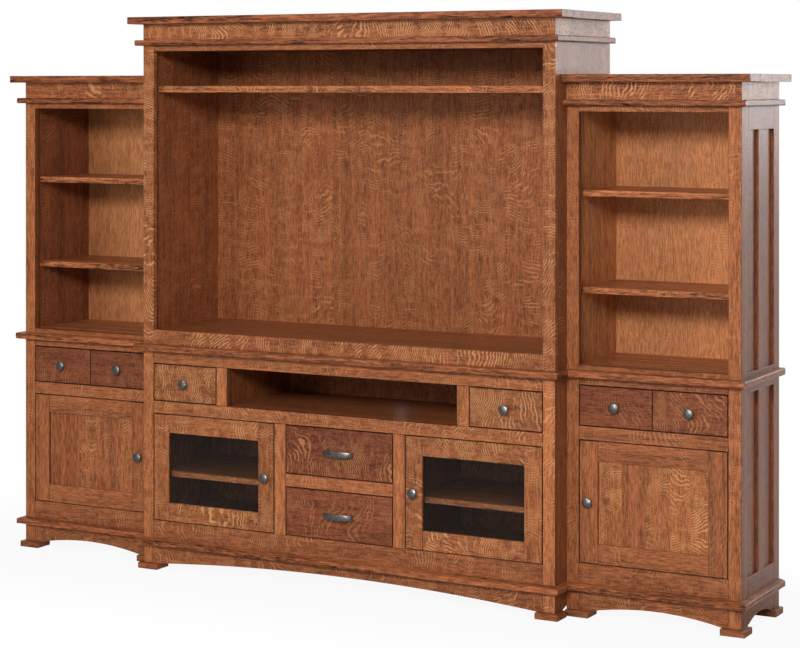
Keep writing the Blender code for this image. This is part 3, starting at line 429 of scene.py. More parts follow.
STILE_LOOK = (1.0, 0.16, 0.45)
RAIL_LOOK = (0.88, 0.30, 0.60)
SILL_LOOK = (0.80, 0.42, 0.85)
# Painted shade on the frame boards' eased edges and thin sides, for the shade in the gaps round the openings.
FRAME_GAP_SHADE = 0.85
ARCH_RISE = 0.034


def sill_outline(start, end, spring, finish, rise):
    """A bottom rail seen from the front: straight above, with an arch between the feet."""
    return [(start, FOOT_HEIGHT), *arch(spring, finish, FOOT_HEIGHT, rise), (end, FOOT_HEIGHT), (end, SILL),
            (start, SILL)]


face_span = (FACE, BEHIND)
spring = HALF + FOOT_PROUD - FOOT_WIDTH
uprights = ((OPENING_HALF, HALF, (FOOT_HEIGHT, BASE_TOP)), (DRAWER_HALF, DOOR_INNER, (SILL, DOOR_TOP)),
            (SLOT_HALF, SLOT_HALF + STILE, (ROW_FLOOR, ROW_TOP)))
rails = ((OPENING_HALF, (ROW_TOP, BASE_TOP)), (OPENING_HALF, (DOOR_TOP, ROW_FLOOR)),
         (DRAWER_HALF, (LOWER_TOP, UPPER_FLOOR)))
bm = new_piece()
for side in (-1, 1):
    for start, end, zs in uprights:
        add_board(bm, (side * start, side * end), face_span, zs, "Z", STILE_LOOK, gap_shade=FRAME_GAP_SHADE)
for half, zs in rails:
    add_board(bm, (-half, half), face_span, zs, "X", RAIL_LOOK, gap_shade=FRAME_GAP_SHADE)
outline = sill_outline(-OPENING_HALF, OPENING_HALF, -spring, spring, ARCH_RISE)
add_shaped(bm, "Y", face_span, outline, "X", SILL_LOOK)
done(bm, "console_face_frame_boards", oak, ["console_face_frame"])

# The base moulding and the top board of the console are run in oak and mitred at the corners. Both
# return along the sides as far as the piers' own mouldings, which carry the lines on.

MOULDING_LOOK = (0.84, 0.46, 0.15, 1.0)
BASE_LOW = 0.0935
MOULD_THICK = 0.0245
SIDE_REACH = 0.0225
BASE_REACH = 0.030
TOP_REACH = 0.035
TOP_NOSE = 0.09
RUN_EASE = 0.0008
PIER_SET_BACK = 0.092
PIER_FACE = FACE + PIER_SET_BACK


def add_run(bm, profile, start, end, along, look, ease=RUN_EASE):
    """A length of moulding. Each end is a point on the wall and the out vector of its mitre."""
    ends = [[(point[0] + share * out[0], point[1] + share * out[1], height) for share, height in profile]
            for point, out in (start, end)]
    add_length(bm, ends, along, look, ease)


def add_returned(bm, profile, reach, look):
    """A run along the console's front, mitred to a return on each side, up to the pier's own run."""
    left, right = ((-HALF, FACE), (-SIDE_REACH, -reach)), ((HALF, FACE), (SIDE_REACH, -reach))
    add_run(bm, profile, left, right, "X", look)
    add_run(bm, profile, ((-HALF, PIER_FACE - reach), (-SIDE_REACH, 0)), left, "Y", look)
    add_run(bm, profile, right, ((HALF, PIER_FACE - reach), (SIDE_REACH, 0)), "Y", look)


def base_profile():
    """A square nose with a sloping, slightly hollow top."""
    low, thick = BASE_LOW, MOULD_THICK
    return [(0, low), (1, low), (1, low + thick * 0.70), (0.90, low + thick * 0.78),
            (0.60, low + thick * 0.90), (0.25, low + thick * 0.97), (0, low + thick)]


def nose_profile(low, thick, ease):
    """A square nose with both its edges rounded over."""
    return [(0, low), (1 - ease * 1.6, low), (1 - ease * 0.5, low + thick * 0.06), (1, low + thick * 0.20),
            (1, low + thick * 0.80), (1 - ease * 0.5, low + thick * 0.94), (1 - ease * 1.6, low + thick),
            (0, low + thick)]


bm = new_piece()
add_returned(bm, base_profile(), BASE_REACH, MOULDING_LOOK)
done(bm, "console_base_moulding_runs", oak, ["console_base_moulding"])

top_low, top_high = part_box("console_top")
WAIST_TOP = top_high.z
TOP_LOOK = (0.86, 0.42, 0.30, 0.8)
bm = new_piece()
add_returned(bm, nose_profile(top_low.z, WAIST_TOP - top_low.z, TOP_NOSE), TOP_REACH, TOP_LOOK)
add_strips(bm, (-HALF, HALF), (FACE, BACK), (top_low.z, WAIST_TOP), "X", "Y", 4, TOP_LOOK)
done(bm, "console_top_boards", oak, ["console_top"])

# The backs are veneered panels let into rebates, with a cable hole. Small nails hold them, and their
# heads are left showing behind. The panels are the CAD's own solids under a veneer.

VENEER_STRIP = 0.145
NAIL_SPACING = 0.120
NAIL_RADIUS = 0.0028
NAIL_DOME = 0.12
NAIL_SUNK = 0.0002
NAIL_RIM = 0.005


def veneer(name, tone, red, fleck, streak):
    """Oak veneer laid in upright strips, which differ a little in shade and in figure."""
    start, shader, made = surface(name, 0.46, specular=0.25)
    place = start.place()
    x, y, z = (place.axis(name) for name in "XYZ")
    strip = place.maths("FLOOR", x / VENEER_STRIP + 40.0)
    shade = start.make("ShaderNodeTexWhiteNoise", {"noise_dimensions": "1D"}, {"W": strip}, output="Value")
    grain = start.make("ShaderNodeCombineXYZ", None, {0: z + strip * 1.7, 1: x + strip * 0.31, 2: y})
    even = start.make("ShaderNodeValue")
    even.socket.default_value = streak
    oak_figure(start, shader, grain, tone * (0.90 + shade * 0.20), red + shade * 0.14,
               fleck + shade * 0.1, even)
    return made


def row_tree(name, shape, *sizes):
    """Geometry Nodes: one shape at even spacing along the lines of a mesh. Shape is a function that
    adds its own nodes, and sizes are the names of what it takes."""
    tree = bpy.data.node_groups.new(name, "GeometryNodeTree")
    tree.interface.new_socket("Lines", in_out="INPUT", socket_type="NodeSocketGeometry")
    for size in ("Spacing", *sizes):
        tree.interface.new_socket(size, in_out="INPUT", socket_type="NodeSocketFloat")
    tree.interface.new_socket("Finish", in_out="INPUT", socket_type="NodeSocketMaterial")
    tree.interface.new_socket("Row", in_out="OUTPUT", socket_type="NodeSocketGeometry")
    given, result = tree.nodes.new("NodeGroupInput"), tree.nodes.new("NodeGroupOutput")
    line = tree.nodes.new("GeometryNodeMeshToCurve")
    spaced = tree.nodes.new("GeometryNodeResampleCurve")
    spaced.mode = "LENGTH"
    placed = tree.nodes.new("GeometryNodeInstanceOnPoints")
    real = tree.nodes.new("GeometryNodeRealizeInstances")
    finish = tree.nodes.new("GeometryNodeSetMaterial")
    for source, target in ((given.outputs["Lines"], line.inputs[0]),
                           (line.outputs[0], spaced.inputs["Curve"]),
                           (given.outputs["Spacing"], spaced.inputs["Length"]),
                           (spaced.outputs[0], placed.inputs["Points"]),
                           (shape(tree, given), placed.inputs["Instance"]),
                           (placed.outputs[0], real.inputs[0]),
                           (real.outputs[0], finish.inputs["Geometry"]),
                           (given.outputs["Finish"], finish.inputs["Material"]),
                           (finish.outputs[0], result.inputs[0])):
        tree.links.new(source, target)
    return tree


def nail_head(tree, given):
    """A small domed head."""
    head = tree.nodes.new("GeometryNodeMeshUVSphere")
    head.inputs["Segments"].default_value = 10
    head.inputs["Rings"].default_value = 6
    flat = tree.nodes.new("GeometryNodeTransform")
    flat.inputs["Scale"].default_value = (1, NAIL_DOME, 1)
    tree.links.new(given.outputs["Radius"], head.inputs["Radius"])
    tree.links.new(head.outputs["Mesh"], flat.inputs[0])
    return flat.outputs[0]


def grown(name, tree, lines, settings):
    """A plain mesh made by a tree from some lines, each a run of points."""
    mesh = bpy.data.meshes.new(name + "_lines")
    verts = [point for line in lines for point in line]
    edges, count = [], 0
    for line in lines:
        edges += [(count + i, count + i + 1) for i in range(len(line) - 1)]
        count += len(line)
    mesh.from_pydata(verts, edges, [])
    holder = bpy.data.objects.new(name + "_holder", mesh)
    bpy.context.scene.collection.objects.link(holder)
    modifier = holder.modifiers.new("grow", "NODES")
    modifier.node_group = tree
    sockets = {item.name: item.identifier for item in tree.interface.items_tree if item.in_out == "INPUT"}
    for key, value in settings.items():
        modifier[sockets[key]] = value
    bpy.context.view_layer.update()
    made = bpy.data.meshes.new_from_object(holder.evaluated_get(bpy.context.evaluated_depsgraph_get()))
    bpy.data.objects.remove(holder)
    piece = bpy.data.objects.new(name, made)
    bpy.context.scene.collection.objects.link(piece)
    return piece


def bright_steel():
    """Plain wire nails and pins, faintly streaked and dulled."""
    start, shader, made = surface("bright_steel", 0.38, metallic=1.0)
    place = start.place()
    worn = place.stretched(420, 420, 420).mottle(3.0, 0.6)
    connect(shader, Base_Color=worn.over((0.30, 0.30, 0.31, 1), (0.62, 0.62, 0.63, 1)),
            Roughness=0.28 + worn * 0.25)
    return made


def refinish(node, finish):
    """Give one of the CAD's own solids its material."""
    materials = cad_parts[node].data.materials
    materials.clear()
    materials.append(finish)


steel = bright_steel()
back_veneer = veneer("back_veneer", 0.78, 0.24, 0.55, 0.4)
nail_rows = row_tree("nail_row", nail_head, "Radius")
for node in ("console_back", "hutch_back"):
    refinish(node, back_veneer)
    low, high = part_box(node)
    y = high.y - NAIL_SUNK
    xs, zs = (low.x + NAIL_RIM, high.x - NAIL_RIM), (low.z + NAIL_RIM, high.z - NAIL_RIM)
    corners = [(xs[0], y, zs[0]), (xs[1], y, zs[0]), (xs[1], y, zs[1]), (xs[0], y, zs[1])]
    lines = list(zip(corners, corners[1:] + corners[:1]))
    nails = grown(node + "_nails", nail_rows, lines,
                  {"Spacing": NAIL_SPACING, "Radius": NAIL_RADIUS, "Finish": steel})
    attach(nails, "cabinet")

# The hutch stands on the console: oak slab sides, a floor, a ceiling board and one shelf near the
# top. The wide boards are glued up from quartersawn strips, and a face frame is glued to the front.

HUTCH_FLOOR = 0.899
HUTCH_HEAD = 1.946
HUTCH_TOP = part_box("hutch_case")[1].z
HUTCH_SHELF = (1.791, 1.816)
SHELF_EASE = 0.002
HUTCH_INSIDE = (0.86, 0.42, 0.45)
HUTCH_SHELF_LOOK = (0.92, 0.28, 0.60, 0.8)
HUTCH_STILE_LOOK = (0.77, 0.30, 1.15)
HUTCH_SILL_LOOK = (0.86, 0.38, 1.0)
bm = new_piece()
for side in (-1, 1):
    xs = (side * INNER, side * HALF)
    add_strips(bm, xs, (BEHIND, BACK), (WAIST_TOP, HUTCH_TOP), "Z", "Y", 4, HUTCH_INSIDE)
for top in (HUTCH_FLOOR, HUTCH_TOP):
    add_strips(bm, (-INNER, INNER), inside, (top - BOARD, top), "X", "Y", 4, CASE_LOOK)
add_board(bm, (-INNER, INNER), (FACE + SET_BACK, PANEL_BACK), HUTCH_SHELF, "X", HUTCH_SHELF_LOOK, SHELF_EASE)
done(bm, "hutch_case_boards", oak, ["hutch_case"])

bm = new_piece()
for side in (-1, 1):
    xs = (side * OPENING_HALF, side * HALF)
    add_board(bm, xs, face_span, (WAIST_TOP, HUTCH_TOP), "Z", HUTCH_STILE_LOOK)
for zs, look in (((WAIST_TOP, HUTCH_FLOOR), HUTCH_SILL_LOOK), ((HUTCH_HEAD, HUTCH_TOP), RAIL_LOOK)):
    add_board(bm, (-OPENING_HALF, OPENING_HALF), face_span, zs, "X", look)
done(bm, "hutch_face_frame_boards", oak, ["hutch_face_frame"])

# Each cornice is a strip planted round the head, a plain frieze above it, and a crown board with
# eased edges that covers both. The strips and the friezes are mitred at the corners.

STRIP_LOOK = (0.64, 0.56, 0.15, 1.3)
FRIEZE_LOOK = (0.90, 0.42, 1.08, 0.6)
CROWN_LOOK = (0.66, 0.56, 0.15, 1.3)
STRIP = 0.021
FRIEZE = 0.060
FRIEZE_EASE = 0.0004
CROWN = 0.0265
CROWN_OUT = 0.044
CROWN_FRONT = 0.10
CROWN_EASE = 0.0022
STRIP_REACH = 0.027
STRIP_NOSE = 0.08


def add_cornice(bm, low, corners, crown_xs, crown_ys):
    """The strip, the frieze and the crown board over a run of corners, each with the strip's mitre."""
    strip_profile = nose_profile(low, STRIP, STRIP_NOSE)
    crown_low = low + STRIP + FRIEZE
    crown_zs, crown_split = (crown_low, crown_low + CROWN), min(crown_ys) + CROWN_FRONT
    frieze = [(-FRAME_THICK, low + STRIP), (0, low + STRIP), (0, crown_low), (-FRAME_THICK, crown_low)]
    for (point, out), (following, next_out) in zip(corners, corners[1:]):
        along = "X" if abs(following[0] - point[0]) > abs(following[1] - point[1]) else "Y"
        add_run(bm, strip_profile, (point, out), (following, next_out), along, STRIP_LOOK)
        unit = [[math.copysign(1, part) if part else 0 for part in way] for way in (out, next_out)]
        add_run(bm, frieze, (point, unit[0]), (following, unit[1]), along, FRIEZE_LOOK, FRIEZE_EASE)
    add_strips(bm, crown_xs, (crown_split, max(crown_ys)), crown_zs, "X", "Y", 3, CROWN_LOOK)
    add_board(bm, crown_xs, (min(crown_ys), crown_split), crown_zs, "X", CROWN_LOOK, CROWN_EASE)


bm = new_piece()
add_cornice(bm, HUTCH_TOP, [((-HALF, BACK), (-SIDE_REACH, 0)), ((-HALF, FACE), (-SIDE_REACH, -STRIP_REACH)),
                            ((HALF, FACE), (SIDE_REACH, -STRIP_REACH)), ((HALF, BACK), (SIDE_REACH, 0))],
            (-HALF - CROWN_OUT, HALF + CROWN_OUT), (FACE - CROWN_OUT, BACK))
done(bm, "hutch_cornice_runs", oak, ["hutch_cornice"])

# Each pier is one tall oak case with a face frame from the feet to the head. Its outer side is a
# frame with two upright panels below the waist and two above it, and its inner side is a plain slab.
# It has a fixed shelf and a loose one, and its mouldings and cornice are mitred like the console's.

PIER_GAP, PIER_WIDTH = 0.0005, 0.630
PIER_INNER = HALF + PIER_GAP
PIER_OUTER = PIER_INNER + PIER_WIDTH
PIER_BEHIND = PIER_FACE + FRAME_THICK
PIER_DOOR_TOP = 0.607
PIER_DRAWER_FLOOR = 0.6535
PIER_DRAWER_TOP = 0.7945
PIER_FLOOR = 0.862
PIER_HEAD = 1.727
PANEL_TOP = 1.669
PIER_SIDE_LOOK = (0.72, 0.55, 0.12)
PIER_RAIL_LOOK = (0.88, 0.38, 0.50)
SHELF_LOOK = (0.98, 0.24, 0.25, 1.0)
PIER_STILE_LOOK = (0.96, 0.26, 0.35)
PIER_SILL_LOOK = (0.86, 0.42, 0.55)
PIER_FOOT_LOOK = (0.80, 0.45, 0.25)
INNER_WALL_LOOK = (1.02, -0.44, 0.25)
# Painted light and shade: the left pier's back is painted darker and the right one's lighter, as the light
# falls from the right.
BACK_PAINTED_LIGHT_TONES = {-1: 0.94, 1: 1.14}
BACK_SPREAD = 0.10
FIXED_SHELF = (1.102, 1.124)
SIDE_STILE, SIDE_MULLION, SIDE_BACK_STILE = 0.041, 0.055, 0.057
PANEL_DEPTH = 0.011
LEG_STEP = 0.006
near, far = PIER_BEHIND + SIDE_STILE, BACK - SIDE_BACK_STILE
panel_width = (far - near - SIDE_MULLION) / 2
panels = ((near, near + panel_width), (far - panel_width, far))


def add_pier_wall(bm, xs, top, look, panelled):
    """A pier's side. Panelled ones have stiles, rails and a thin panel in each opening."""
    if not panelled:
        add_shaped(bm, "X", xs, side_outline(PIER_FACE, top), "Z", look)
        return
    low, high = min(xs), max(xs)
    outside = math.copysign(max(abs(low), abs(high)), low)
    panel = (outside - math.copysign(PANEL_DEPTH, low), outside - math.copysign(SIDE, low))
    panel_look = (look[0] * 1.1, look[1] + 0.05, look[2] + 0.2)
    rail_span = (near, far)
    for ys in ((PIER_BEHIND, near), (far, BACK)):
        add_board(bm, xs, ys, (FOOT_HEIGHT, top), "Z", look)
    curve = [point for point in side_arch(PIER_FACE) if near < point[0] < far]
    rail_low = FOOT_HEIGHT + LEG_STEP
    add_shaped(bm, "X", xs, [(near, rail_low), *curve, (far, rail_low), (far, SILL), (near, SILL)], "Y", look)
    for zs in ((PIER_DRAWER_TOP, PIER_FLOOR), (PANEL_TOP, top)):
        add_board(bm, xs, rail_span, zs, "Y", look)
    for zs in ((SILL, PIER_DRAWER_TOP), (PIER_FLOOR, PANEL_TOP)):
        add_board(bm, xs, (near + panel_width, far - panel_width), zs, "Z", look)
        for ys in panels:
            add_board(bm, panel, ys, zs, "Z", panel_look, 0)


for word, side in (("left", -1), ("right", 1)):
    name = word + "_pier"
    inner, outer = side * PIER_INNER, side * PIER_OUTER
    wall_in, wall_out = side * (PIER_INNER + SIDE), side * (PIER_OUTER - SIDE)
    open_in, open_out = side * (PIER_INNER + STILE), side * (PIER_OUTER - STILE)
    case_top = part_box(name + "_case")[1].z
    walls = (wall_in, wall_out)
    span = (PIER_FACE, PIER_BEHIND)
    bay = (PIER_BEHIND, PANEL_BACK)
    # The back's tone carries painted shade on the left pier and painted light on the right one.
    back_look = (BACK_PAINTED_LIGHT_TONES[side], -0.32, 0.30, 0.05)
    bm = new_piece()
    add_pier_wall(bm, (wall_out, outer), case_top, PIER_SIDE_LOOK, True)
    add_pier_wall(bm, (inner, wall_in), case_top, INNER_WALL_LOOK, False)
    add_strips(bm, walls, (PANEL_BACK, BACK), (SILL - BOARD, case_top), "Z", "X", 5, back_look, BACK_SPREAD)
    for top, look in ((SILL, INSIDE_LOOK), (PIER_DRAWER_FLOOR, INSIDE_LOOK), (PIER_FLOOR, SHELF_LOOK),
                      (case_top, INSIDE_LOOK)):
        add_strips(bm, walls, bay, (top - BOARD, top), "X", "Y", 3, look)
    add_board(bm, walls, (PIER_FACE + SET_BACK, PANEL_BACK), FIXED_SHELF, "X", SHELF_LOOK, SHELF_EASE)
    add_drawer_guides(bm, (inner + outer) / 2, PIER_DRAWER_FLOOR, PIER_DRAWER_TOP, PIER_FLOOR - BOARD, bay)
    for edge, way, hidden in ((inner, side, True), (outer, -side, False)):
        for ys in feet_spans(PIER_FACE):
            proud, width = (0, FOOT_WIDTH) if hidden else (-FOOT_PROUD, FOOT_WIDTH - FOOT_PROUD)
            xs = (edge + way * proud, edge + way * width)
            add_board(bm, xs, ys, (0, FOOT_HEIGHT), "X", PIER_FOOT_LOOK, FOOT_EASE)
    for xs in ((inner, open_in), (open_out, outer)):
        add_board(bm, xs, span, (FOOT_HEIGHT, case_top), "Z", PIER_STILE_LOOK, gap_shade=FRAME_GAP_SHADE)
    for zs in ((PIER_DOOR_TOP, PIER_DRAWER_FLOOR), (PIER_DRAWER_TOP, PIER_FLOOR), (PIER_HEAD, case_top)):
        add_board(bm, (open_in, open_out), span, zs, "X", PIER_RAIL_LOOK, gap_shade=FRAME_GAP_SHADE)
    springs = (inner + side * FOOT_WIDTH, outer - side * (FOOT_WIDTH - FOOT_PROUD))
    add_shaped(bm, "Y", span, sill_outline(open_in, open_out, *springs, SIDE_ARCH), "X", PIER_SILL_LOOK)
    done(bm, name + "_case_boards", oak, [name + "_case"])

    low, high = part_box(name + "_shelf")
    bm = new_piece()
    add_board(bm, (low.x, high.x), (low.y, high.y), (low.z, high.z), "X", SHELF_LOOK, SHELF_EASE)
    done(bm, name + "_shelf_board", oak, [name + "_shelf"])

    waist_profile = nose_profile(BASE_TOP, MOULD_THICK, TOP_NOSE)
    for part, profile, reach in (("_waist_moulding", waist_profile, TOP_REACH),
                                 ("_base_moulding", base_profile(), BASE_REACH)):
        bm = new_piece()
        corner = ((outer, PIER_FACE), (side * SIDE_REACH, -reach))
        add_run(bm, profile, ((inner, PIER_FACE), (0, -reach)), corner, "X", MOULDING_LOOK)
        add_run(bm, profile, corner, ((outer, BACK), (side * SIDE_REACH, 0)), "Y", MOULDING_LOOK)
        done(bm, name + part + "_runs", oak, [name + part])

    bm = new_piece()
    add_cornice(bm, case_top, [((inner, PIER_FACE), (0, -STRIP_REACH)),
                               ((outer, PIER_FACE), (side * SIDE_REACH, -STRIP_REACH)),
                               ((outer, BACK), (side * SIDE_REACH, 0))],
                (inner, outer + side * CROWN_OUT), (PIER_FACE - CROWN_OUT, BACK))
    done(bm, name + "_cornice_runs", oak, [name + "_cornice"])

# Six drawers: a show front of figured oak on a dovetailed box of pale wood, which straddles a strip
# on the floor of its bay. The piers' fronts are each cut by a groove to look like two.

FRONT = 0.020
# Painted shade, nearly black, on the fronts' eased edges and thin sides, for the shade in the gaps round
# them.
FRONT_GAP_SHADE = 0.95
GROOVE_HALF, GROOVE_DEPTH = 0.00125, 0.005
GROOVE_FLOOR_HALF = 0.002
# The floor of the groove is painted darker and plain: painted shade in the groove.
GROOVE_SHADE_LOOK = (0.5, 0.7, 0)
WALL = 0.0125
WALL_EASE = 0.001
BOTTOM_LIFT, BOTTOM_THICK = 0.0097, 0.006
RUNNER_GAP, RUNNER = 0.011, 0.010
MAPLE_LOOK = (1.0, 0.0, 0.0)
BOTTOM_LOOK = (0.95, 0, 0)
TAIL_SPACING, TAIL_HEIGHT, TAIL_THICK = 0.020, 0.008, 0.0004
FIRST_TAIL, LAST_TAIL = 0.014, 0.010
CREASE = 45
SMALL_FRONT = (0.70, 0.34, 1.25)
UPPER_FRONT = (0.80, 0.90, 0.95)
LOWER_FRONT = (0.86, 0.76, 0.50)
PIER_FRONT = (0.78, 0.84, 0.48)


def pale_wood():
    """Maple of the drawer boxes under clear varnish: even, creamy and faintly streaked."""
    start, shader, made = surface("drawer_maple", 0.45, coat=0.05)
    grain = start.attribute("grain", "Vector")
    fibre = grain.stretched(4, 160, 160).mottle(3.0, 0.6)
    band = grain.stretched(1.5, 22, 22).mottle(2.0, 0.5)
    mineral = grain.stretched(9, 60, 60).mottle(1.0, 0.5).step(0.68, 0.80)
    colour = band.over((0.50, 0.30, 0.145, 1), (0.64, 0.43, 0.24, 1))
    colour = (mineral * 0.30).over((0.86 + fibre * 0.26).tinting(colour), (0.30, 0.16, 0.08, 1))
    bump = start.make("ShaderNodeBump", None, {"Strength": 0.15, "Distance": 0.0004, "Height": fibre})
    connect(shader, Base_Color=colour, Roughness=0.40 + fibre * 0.15, Normal=bump)
    return made


def aged_pewter():
    """Hand finished pewter: shallow hammer marks and a dark patina left in the hollows."""
    start, shader, made = surface("aged_pewter", 0.46, metallic=1.0)
    place = start.place()
    cells = start.make("ShaderNodeTexVoronoi", {"feature": "SMOOTH_F1"},
                       {"Vector": place.stretched(330, 330, 330), "Scale": 1.0, "Smoothness": 0.8},
                       output="Distance")
    patina = place.stretched(150, 150, 150).mottle(4.0, 0.65).step(0.38, 0.66)
    colour = patina.over((0.50, 0.49, 0.48, 1), (0.12, 0.116, 0.112, 1))
    colour = (cells * 0.35).over(colour, (0.50, 0.49, 0.48, 1))
    bump = start.make("ShaderNodeBump", None,
                      {"Strength": 0.35, "Distance": 0.0010, "Height": cells + patina * 0.15})
    connect(shader, Base_Color=colour, Roughness=0.40 + patina * 0.20, Normal=bump)
    return made


def add_knob(bm, point, height=0.026, radius=0.018, sides=40):
    """A mushroom knob, turned about an axis that comes out of the wood."""
    shares = ((0.0, 0.0), (0.50, 0.0), (0.50, 0.06), (0.44, 0.12), (0.34, 0.22), (0.31, 0.34), (0.36, 0.46),
              (0.58, 0.55), (0.86, 0.61), (0.97, 0.66), (1.0, 0.72), (0.985, 0.79), (0.93, 0.84),
              (0.88, 0.855), (0.84, 0.875), (0.66, 0.93), (0.42, 0.975), (0.20, 0.995), (0.0, 1.0))
    rings = []
    for share, rise in shares:
        turns = [2 * math.pi * step / sides for step in range(sides)] if share else [0]
        rings.append([bm.verts.new((point[0] + radius * share * math.cos(turn), point[1] - height * rise,
                                    point[2] + radius * share * math.sin(turn))) for turn in turns])
    for lower, upper in zip(rings, rings[1:]):
        for i in range(sides):
            corners = {lower[(i - 1) % len(lower)]: 0, lower[i % len(lower)]: 0,
                       upper[i % len(upper)]: 0, upper[(i - 1) % len(upper)]: 0}
            bm.faces.new(list(corners))


def add_pull(bm, x, face, z, length=0.122, out=0.030, height=0.023, steps=30, sides=12):
    """A bowed bar pull: a rounded strap that springs from two flat pads and swells at the middle."""
    rings = []
    for step in range(steps + 1):
        share = 2 * step / steps - 1
        swell = 1 - share * share
        bow = max(0.0, 1 - abs(share) ** 2.6) ** 0.62
        middle = face - 0.0035 - (out - 0.0075) * bow
        deep = 0.0034 + 0.0006 * swell
        tall = height * (0.40 + 0.10 * swell)
        ring = []
        for turn in range(sides):
            angle = 2 * math.pi * turn / sides
            squared = [math.copysign(abs(part) ** 0.5, part) for part in (math.cos(angle), math.sin(angle))]
            point = (x + share * length / 2, middle + squared[0] * deep, z + squared[1] * tall)
            ring.append(bm.verts.new(point))
        rings.append(ring)
    for lower, upper in zip(rings, rings[1:]):
        for i in range(sides):
            bm.faces.new((lower[i - 1], lower[i], upper[i], upper[i - 1]))
    bm.faces.new(rings[0])
    bm.faces.new(rings[-1])


def tail_end(tree, given):
    """The end of a dovetail, which shows as a thin block of end grain on the side of a drawer box."""
    size = tree.nodes.new("ShaderNodeCombineXYZ")
    size.inputs[0].default_value = TAIL_THICK
    tail = tree.nodes.new("GeometryNodeMeshCube")
    tree.links.new(given.outputs["Length"], size.inputs[1])
    tree.links.new(given.outputs["Height"], size.inputs[2])
    tree.links.new(size.outputs[0], tail.inputs["Size"])
    return tail.outputs["Mesh"]


def end_grain():
    """End grain of the dovetails, which drinks more varnish and so looks darker."""
    start, shader, made = surface("end_grain", 0.6)
    place = start.place()
    rings = place.stretched(500, 900, 900).mottle(2.0, 0.6)
    connect(shader, Base_Color=rings.over((0.24, 0.13, 0.06, 1), (0.40, 0.24, 0.12, 1)),
            Roughness=0.5 + rings * 0.2)
    return made


maple = pale_wood()
pewter = aged_pewter()
tail_grain = end_grain()
dovetails = row_tree("dovetails", tail_end, "Length", "Height")
drawers = (
    ("small_drawer_left", SMALL_FRONT, ("_knob",)),
    ("small_drawer_right", SMALL_FRONT, ("_knob",)),
    ("centre_drawer_upper", UPPER_FRONT, ("_pull",)),
    ("centre_drawer_lower", LOWER_FRONT, ("_pull",)),
    ("left_pier_drawer", PIER_FRONT, ("_left_knob", "_right_knob")),
    ("right_pier_drawer", PIER_FRONT, ("_left_knob", "_right_knob")),
)
for name, look, grips in drawers:
    low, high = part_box(name + "_front")
    middle, face = (low.x + high.x) / 2, low.y
    ys, zs = (face, face + FRONT), (low.z, high.z)
    halves = ((low.x, middle - GROOVE_HALF), (middle + GROOVE_HALF, high.x))
    grooved = len(grips) > 1
    bm = new_piece()
    for xs in halves if grooved else ((low.x, high.x),):
        add_board(bm, xs, ys, zs, "X", look, gap_shade=FRONT_GAP_SHADE)
    if grooved:
        xs = (middle - GROOVE_FLOOR_HALF, middle + GROOVE_FLOOR_HALF)
        # The groove's floor, painted dark for the shade in the groove.
        add_board(bm, xs, (face + GROOVE_DEPTH, ys[1]), zs, "Z", GROOVE_SHADE_LOOK, 0)
    done(bm, name + "_front_board", oak, [name + "_front"], name)

    low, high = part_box(name + "_box")
    centre = (low.x + high.x) / 2
    within, between = (low.x + WALL, high.x - WALL), (low.y + WALL, high.y - WALL)
    base = low.z + BOTTOM_LIFT
    bm = new_piece()
    for x in (low.x, high.x - WALL):
        add_board(bm, (x, x + WALL), (low.y, high.y), (low.z, high.z), "Y", MAPLE_LOOK, WALL_EASE)
    for y in (low.y, high.y - WALL):
        for xs in ((within[0], centre - RUNNER_GAP), (centre + RUNNER_GAP, within[1])):
            add_board(bm, xs, (y, y + WALL), (low.z, base), "X", MAPLE_LOOK, 0)
        add_board(bm, within, (y, y + WALL), (base, high.z), "X", MAPLE_LOOK, WALL_EASE)
    add_board(bm, within, between, (base, base + BOTTOM_THICK), "Y", BOTTOM_LOOK, 0)
    for x in (centre - RUNNER_GAP - RUNNER, centre + RUNNER_GAP):
        add_board(bm, (x, x + RUNNER), between, (low.z, base), "Y", MAPLE_LOOK, 0)
    done(bm, name + "_box_boards", maple, [name + "_box"], name)

    tail_rows = [[(x, y, low.z + FIRST_TAIL), (x, y, high.z - LAST_TAIL)]
                 for x in (low.x, high.x) for y in (low.y + WALL / 2, high.y - WALL / 2)]
    tails = grown(name + "_dovetails", dovetails, tail_rows,
                  {"Spacing": TAIL_SPACING, "Length": WALL, "Height": TAIL_HEIGHT, "Finish": tail_grain})
    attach(tails, name)

    for grip in grips:
        low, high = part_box(name + grip)
        x, z = (low.x + high.x) / 2, (low.z + high.z) / 2
        bm = bmesh.new()
        if grip == "_pull":
            add_pull(bm, x, face, z)
        else:
            add_knob(bm, (x, face, z))
        done(bm, name + grip + "_casting", pewter, [name + grip], name, CREASE)

# Four inset doors of stiles and rails. The console's hold glass, and the piers' a flat panel glued
# up from strips. Each has a knob on its free stile and turns on steel pins at its outer edge.

DOOR = 0.020
DOOR_STILE = 0.067
DOOR_RAIL_EASE = 0.0014
PANEL_SPREAD = 0.32
GLASS_DOOR = (0.80, 0.24, 1.1)
PIER_DOOR = (0.88, 0.30, 0.40)
PANEL_LOOK = (0.90, 0.28, 0.38)


def mix_in(made, shader, share, other):
    """Show another shader in place of a material's own one, as strongly as a value says."""
    tree = made.node_tree
    both = share.make("ShaderNodeMixShader", None, {0: share, 1: Stain(tree, shader.outputs[0]), 2: other})
    tree.links.new(both.socket, tree.nodes["Material Output"].inputs["Surface"])


